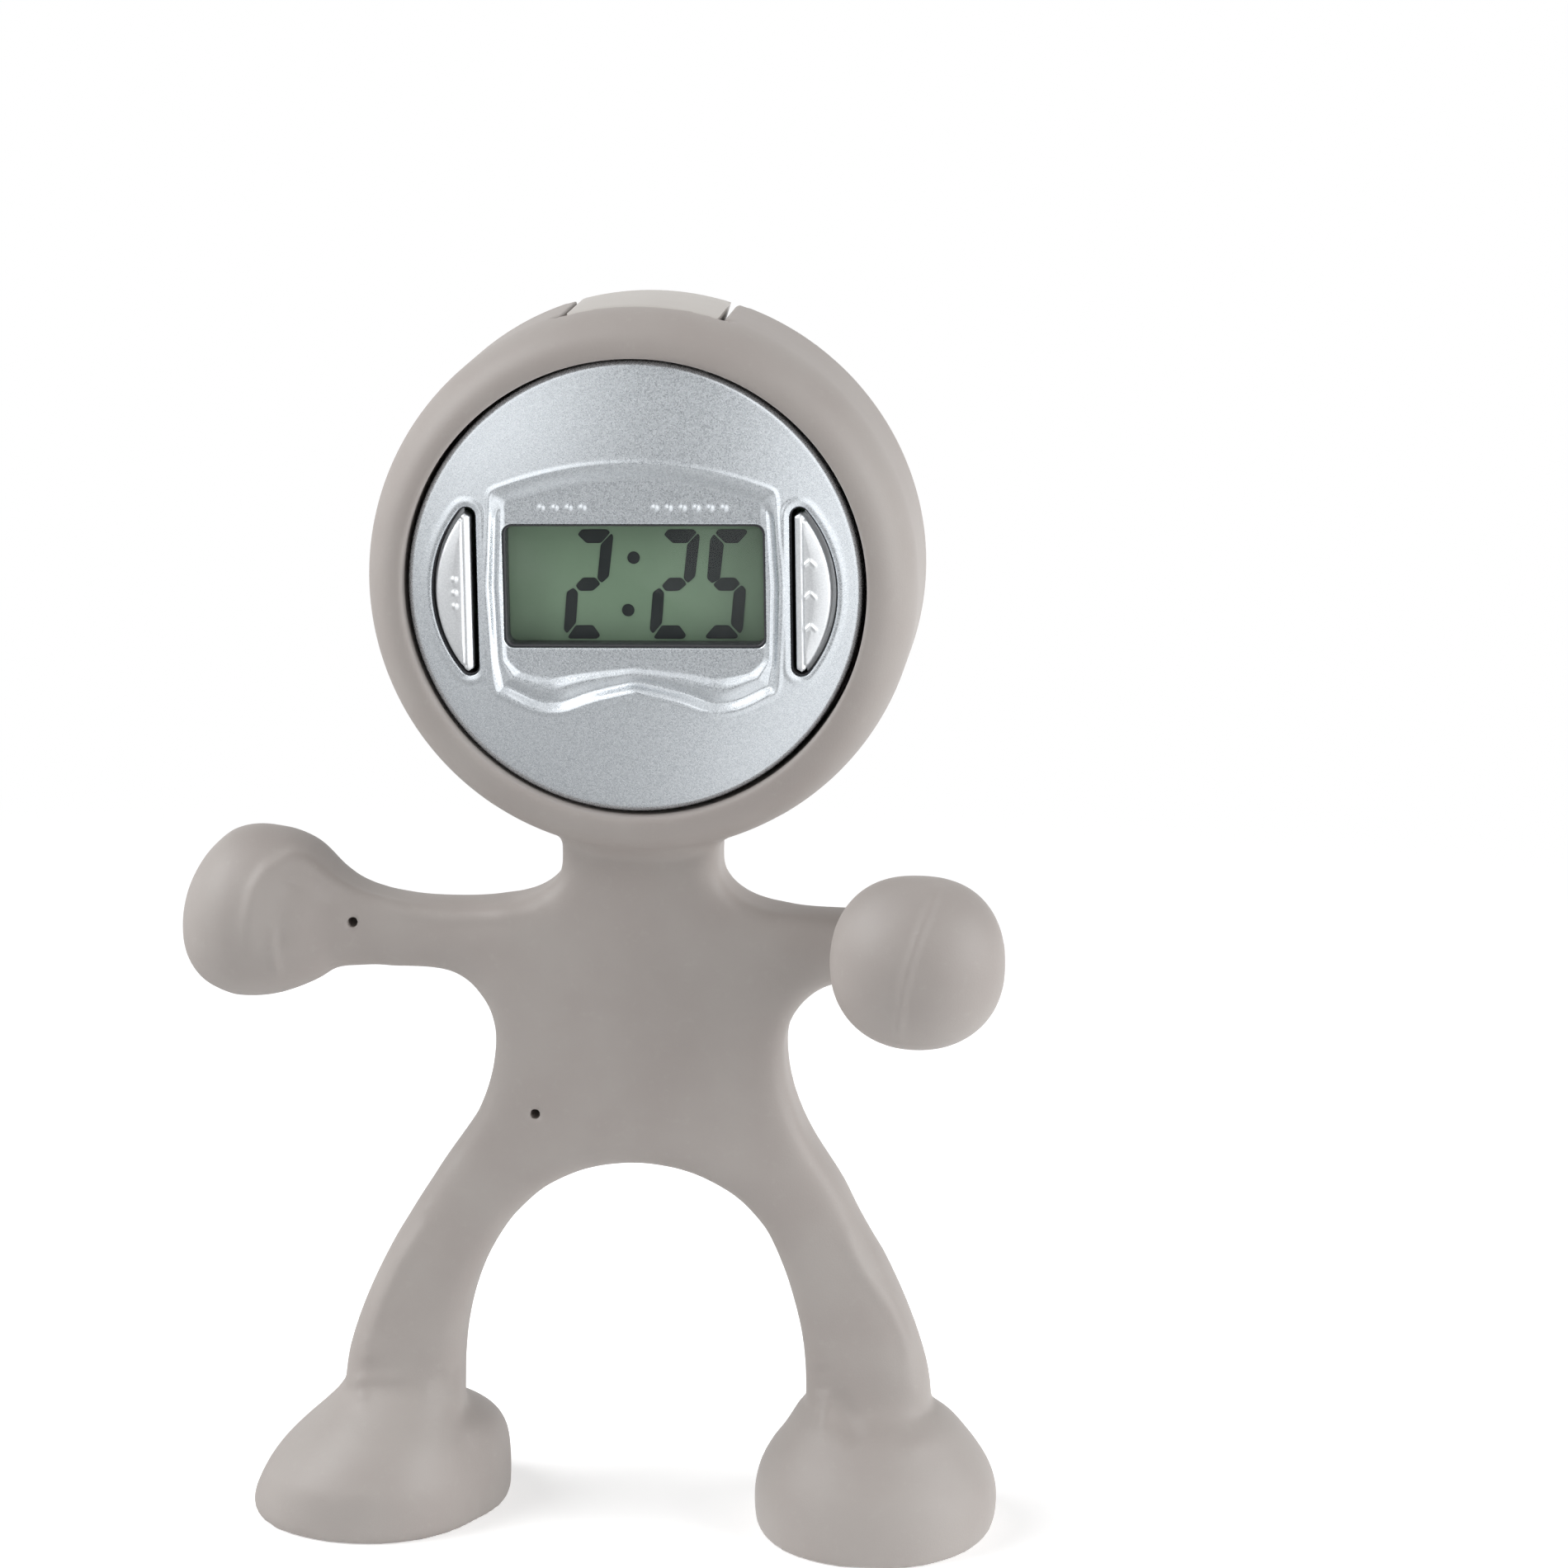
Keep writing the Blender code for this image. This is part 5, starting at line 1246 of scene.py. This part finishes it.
def display():
    """Lens, its dark sleeve and the digits under it; the sleeve's black is painted shade for the shadow
    inside the window.
    """
    lens = plate("clear_window", rounded_box(10.5, 4.85, 0.7, 6), -6.95, -5.6, lens_clear, 0.1)
    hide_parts("lcd_window")
    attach(lens, "torso")
    # The sleeve is painted shade: a dark lining where the window's walls lie in shadow
    shade_lining("window_sleeve", rounded_box(10.74, 5.09, 0.8), rounded_box(10.56, 4.91, 0.7), -6.9, -4.85)
    two = [
        [(-4.84, 3.89), (-4.48, 4.31), (-2.41, 4.31), (-2.12, 4.07), (-2.92, 3.18), (-4.12, 3.17)],
        [(-2.03, 4.0), (-1.89, 3.74), (-2.33, 0.41), (-2.94, -0.14), (-3.28, 0.23), (-2.94, 3.07)],
        [(-5.1, -0.35), (-4.48, 0.32), (-3.44, 0.32), (-3.03, -0.21), (-3.68, -0.78), (-4.78, -0.79)],
        [(-5.28, -0.51), (-4.91, -0.9), (-5.13, -3.45), (-5.9, -4.34), (-6.15, -4.01), (-5.84, -0.88)],
        [(-5.84, -4.63), (-5.15, -3.64), (-3.73, -3.63), (-3.14, -4.46), (-3.37, -4.76), (-5.73, -4.76)],
    ]
    five = [
        [(6.48, 4.0), (6.72, 4.31), (9.0, 4.32), (9.14, 4.08), (8.33, 3.18), (7.28, 3.18)],
        [(6.35, 3.93), (7.17, 3.09), (6.8, 0.24), (6.14, -0.16), (5.74, 0.24), (6.05, 3.47)],
        [(6.22, -0.24), (6.87, 0.33), (8.07, 0.33), (8.46, -0.18), (7.87, -0.76), (6.67, -0.77)],
        [(8.56, -0.27), (8.92, -0.63), (8.61, -3.97), (8.35, -4.34), (7.62, -3.53), (7.9, -0.86)],
        [(5.51, -4.53), (6.33, -3.61), (7.46, -3.61), (8.24, -4.49), (8.06, -4.73), (5.62, -4.73)],
    ]
    second_two = [[(u + 7.1, v) for u, v in bar] for bar in two]
    dots = [bow(u, v, 0.515, 0.515, 0, 345, 23) for u, v in ((-0.26, 1.97), (-0.80, -2.38))]
    for name, bars in (("hour_digit", two), ("colon", dots), ("minute_tens_digit", second_two),
                       ("minute_digit", five)):
        shapes = []
        for bar in bars:
            rounded = evened(np.array(bar), 0.09, 3) if name != "colon" else bar
            shapes.append(plate(name, rounded, -4.84, -4.80, ink))
        digit = join(shapes, name)
        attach(digit, "torso")


# The back of the clock

def rear_shell():
    """Shallow cup with a stepped edge, seats for door and screws, grip ribs and the tab on top."""
    def depth(u, v):
        reach = np.hypot(u, v)
        y = np.full(len(u), CASE_BACK) + 0.35 * eased((reach - 16.9) / 0.35)
        y += 0.22 * bell((np.hypot(u, v - DOOR_UP) - 8.3) / 0.45)
        for u0, v0 in SCREW_PLACES:
            y += 0.2 * bell((np.hypot(u - u0, v - v0) - 2.15) / 0.3)
        for row in range(5):
            rib = np.hypot(np.maximum(np.abs(u) - 4.0 + 0.35 * row, 0), v - 10.0 - 1.15 * row)
            y -= 0.22 * bell(rib / 0.42)
        for index, angle in enumerate((30, 75)):
            turn = math.radians(90 + angle)
            away = np.hypot(u - 9.3 * math.cos(turn), v - DOOR_UP - 9.3 * math.sin(turn))
            y -= 0.14 * bell((away - 0.35 * index) / 0.3)
        return y

    lines = lines_between((-18.6, 18.6, 0.24))
    borders = [(circle(18.6), 1, 0.5, [(0, 0.7), (-1.3, 0.7), (-1.3, CASE_BACK + 1.3)]),
               (circle(7.25, 0, DOOR_UP), -1, 0.12, [(0, CASE_BACK + 0.8)])]
    borders += [(circle(1.72, u, v, 40), -1, 0.1, [(0, CASE_BACK + 1.1)]) for u, v in SCREW_PLACES]
    shell = sheet("rear_shell", lines, lines, borders, depth, pale_case, to_back)
    outline = np.vstack([bow(0, 0, 22.45, 22.45, 90 - TAB_HALF_TURN, 90 + TAB_HALF_TURN, 30),
                         bow(0, 0, 18.0, 18.0, 90 + TAB_HALF_TURN, 90 - TAB_HALF_TURN, 30)])
    upright = to_figure @ Matrix.Translation(CLOCK_MIDDLE)
    tab = plate("tab", evened(outline, 0.35), -3.05, 7.6, pale_case, 0.45, upright)
    shell = join([shell, tab], "rear_shell")
    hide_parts("rear_case")
    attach(shell, "torso")


def door():
    """Round door with a coin slot and a raised pointer."""
    def depth(u, v):
        v = v - DOOR_UP
        reach = np.hypot(u, v)
        y = np.full(len(u), CASE_BACK) + 0.16 * bell((reach - 5.7) / 0.35)
        pointer = np.abs(u) * 1.5 + np.abs(v - 4.1)
        return y - 0.16 * (1 - eased((pointer - 0.55) / 0.3))

    across = lines_between((-7.0, 7.0, 0.14))
    slot = rounded_box(4.4, 0.65, 0.64, 8) + (0, DOOR_UP)
    borders = [(circle(6.98, 0, DOOR_UP), 1, 0.16, [(0, CASE_BACK + 0.6)]),
               (slot, -1, 0.12, [(0, CASE_BACK + 0.6)])]
    cap = sheet("door_cap", across, across + DOOR_UP, borders, depth, pale_case, to_back)
    neck_section = [(0, 6.9), (6.1, 6.9), (6.1, 7.3), (6.6, 7.35), (6.6, 7.2), (6.05, 7.1), (6.05, 5.75),
                    (0, 5.75)]
    neck_piece = turned("door_neck", neck_section, 90, pale_case, 0, DOOR_UP)
    cap = join([cap, neck_piece], "door_cap")
    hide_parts("battery_door")
    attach(cap, "battery_door")


def screws():
    """One small cross-head screw, copied to its four places."""
    def depth(u, v):
        return CASE_BACK + 0.2 + 0.12 * (u * u + v * v) / 2.25

    arm, reach = 0.2, 0.85
    cross = np.array([(arm, arm), (arm, reach), (-arm, reach), (-arm, arm), (-reach, arm), (-reach, -arm),
                      (-arm, -arm), (-arm, -reach), (arm, -reach), (arm, -arm), (reach, -arm), (reach, arm)])
    lines = lines_between((-1.5, 1.5, 0.07))
    borders = [(circle(1.5, count=60), 1, 0.16, [(0, CASE_BACK + 0.9)]),
               (evened(cross, 0.05, 1), -1, 0.04, [(0, CASE_BACK + 0.9)])]
    head = sheet("screw_head", lines, lines, borders, depth, steel, to_back)
    shank = turned("screw_shank", [(0, 7.1), (1.4, 7.1), (1.4, 6.9), (0.75, 6.85), (0.75, -3.9), (0.4, -4.6),
                                   (0, -4.6)], 24, steel)
    head = join([head, shank], "screw_1")
    for number, (u, v) in enumerate(SCREW_PLACES, 1):
        screw = head.copy()
        screw.data = head.data.copy()
        screw.name = "screw_" + str(number) + "_fine"
        scene.collection.objects.link(screw)
        start, end = to_clock @ Vector((0, 0, 0)), to_clock @ Vector((u, 0, v))
        screw.data.transform(Matrix.Translation(end - start))
        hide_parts("case_screw_" + str(number))
        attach(screw, "torso")
    bpy.data.objects.remove(head)


rear_shell()
door()
screws()
clock_face()
push_button("set_button_cap", "set_button", -1)
push_button("advance_button_cap", "advance_button", 1)
display()


# Floor, light and camera

def direction(around, above):
    """The way out from the object, turned round it from the front and raised, in degrees."""
    around, above = math.radians(around), math.radians(above)
    return Vector((math.sin(around) * math.cos(above), -math.cos(around) * math.cos(above), math.sin(above)))


def white_floor():
    """White floor. For gloss it glows with a painted reflection of two large softboxes in front and a darker
    gap between them; for other rays it glows faintly as painted light from below.
    """
    bpy.ops.mesh.primitive_plane_add(size=6.0, location=(0, 0, 0))
    floor = bpy.context.object
    floor.name = "floor"
    floor.select_set(False)
    f = Finish("floor")
    x, y, _ = f.axes(f.place())
    far = ((x * x + y * y) ** 0.5).between(0.10, 0.30)
    speckle = f.noise(f.place(), 3.0)
    near = f.principled(Base_Color=f.mix(speckle, (0.86, 0.86, 0.86), (0.88, 0.88, 0.88)), Roughness=0.8,
                        Specular_IOR_Level=0.1)
    seen = f.node("LightPath", out="Is Camera Ray")
    shiny = f.node("LightPath", out="Is Glossy Ray")
    # Painted light from below: the near floor glows for every ray, lighting the figure's undersides; for the
    # camera it also brightens the floor to white
    lift = f.node("Emission", sockets={"Strength": 0.30 + 0.14 * seen})
    near = f.node("AddShader", sockets={0: near, 1: lift})
    # Painted reflection: for gloss the floor glows as two softboxes in front with a darker gap between them,
    # and for other rays it glows evenly
    ahead = 0 - y
    beam = x / ahead.most(0.02) + 0.06
    gap = (1 - beam.size().between(0.07, 0.17)) * ahead.between(0.20, 0.32)
    glow = 0.52 + 0.18 * far + 0.70 * beam.between(0.04, 0.22) + 0.33 * ahead.between(0.5, 1.0)
    glow = shiny * glow * (1 - 0.82 * gap) + (1 - shiny) * 0.42
    white = f.node("Emission", sockets={"Color": (1, 1, 1, 1), "Strength": seen + (1 - seen) * glow})
    floor.data.materials.append(f.end(f.node("MixShader", sockets={0: far.most(shiny), 1: near, 2: white})))


def sky():
    """White surroundings with the same softboxes and gap for gloss, and a weaker even light for the rest."""
    f = Finish("studio", "worlds")
    x, y, z = f.axes(f.node("TexCoord", out="Generated"))
    ahead = 0 - y
    beam = (x / ahead.most(0.02) + 0.06).size()
    low = 1 - z.between(0.45, 0.7)
    boxes = beam.between(0.12, 0.2) * (1 - beam.between(0.5, 0.9))
    gap = 1 - beam.between(0.07, 0.17)
    glossy = 0.95 + low * (0.9 * boxes - 0.88 * gap)
    dull = 0.28 - 0.24 * ahead.between(0.2, 0.95) - 0.05 * z.between(0.2, 0.9)
    shiny = f.node("LightPath", out="Is Glossy Ray")
    clear = f.node("LightPath", out="Is Transmission Ray")
    seen = f.node("LightPath", out="Is Camera Ray").most(clear)
    strength = seen + (1 - seen) * (shiny * glossy + (1 - shiny) * dull)
    light = f.node("Background", sockets={"Color": (1, 1, 1, 1), "Strength": strength})
    scene.world = f.end(light, "OutputWorld")


def softboxes():
    """A large square lamp on either side."""
    aim = Vector((0, 0, 0.07))
    for name, around, above, power in (("left_softbox", -76, 36, 4.7), ("right_softbox", 74, 16, 4.0)):
        light = bpy.data.lights.new(name, "AREA")
        light.shape = "SQUARE"
        light.size = 0.55
        light.energy = power
        lamp = bpy.data.objects.new(name, light)
        away = direction(around, above)
        lamp.location = aim + away * 0.65
        lamp.rotation_euler = away.to_track_quat("Z", "Y").to_euler()
        scene.collection.objects.link(lamp)


def camera():
    """The photograph's view: near, from a little above and to the right, and slightly rolled."""
    distance, roll = 0.42, math.radians(0.8)
    sensor_side, picture_side, focal_pixels = 36.0, 1900, 6113.5
    target = Vector((15.65, 4.1, 65.0)) * MM
    back = direction(5, 12.3)
    right = (-back).cross(Vector((0, 0, 1))).normalized()
    up = right.cross(-back)
    rolled_right = right * math.cos(roll) + up * math.sin(roll)
    rolled_up = up * math.cos(roll) - right * math.sin(roll)
    lens = bpy.data.cameras.new("camera")
    lens.sensor_width = sensor_side
    lens.sensor_fit = "HORIZONTAL"
    lens.lens = sensor_side * focal_pixels / picture_side
    lens.clip_start = 0.01
    holder = bpy.data.objects.new("camera", lens)
    turn = Matrix((rolled_right, rolled_up, back)).transposed().to_4x4()
    holder.matrix_world = Matrix.Translation(target + back * distance) @ turn
    scene.collection.objects.link(holder)
    scene.camera = holder


white_floor()
sky()
softboxes()
camera()
scene.view_settings.view_transform = "Standard"
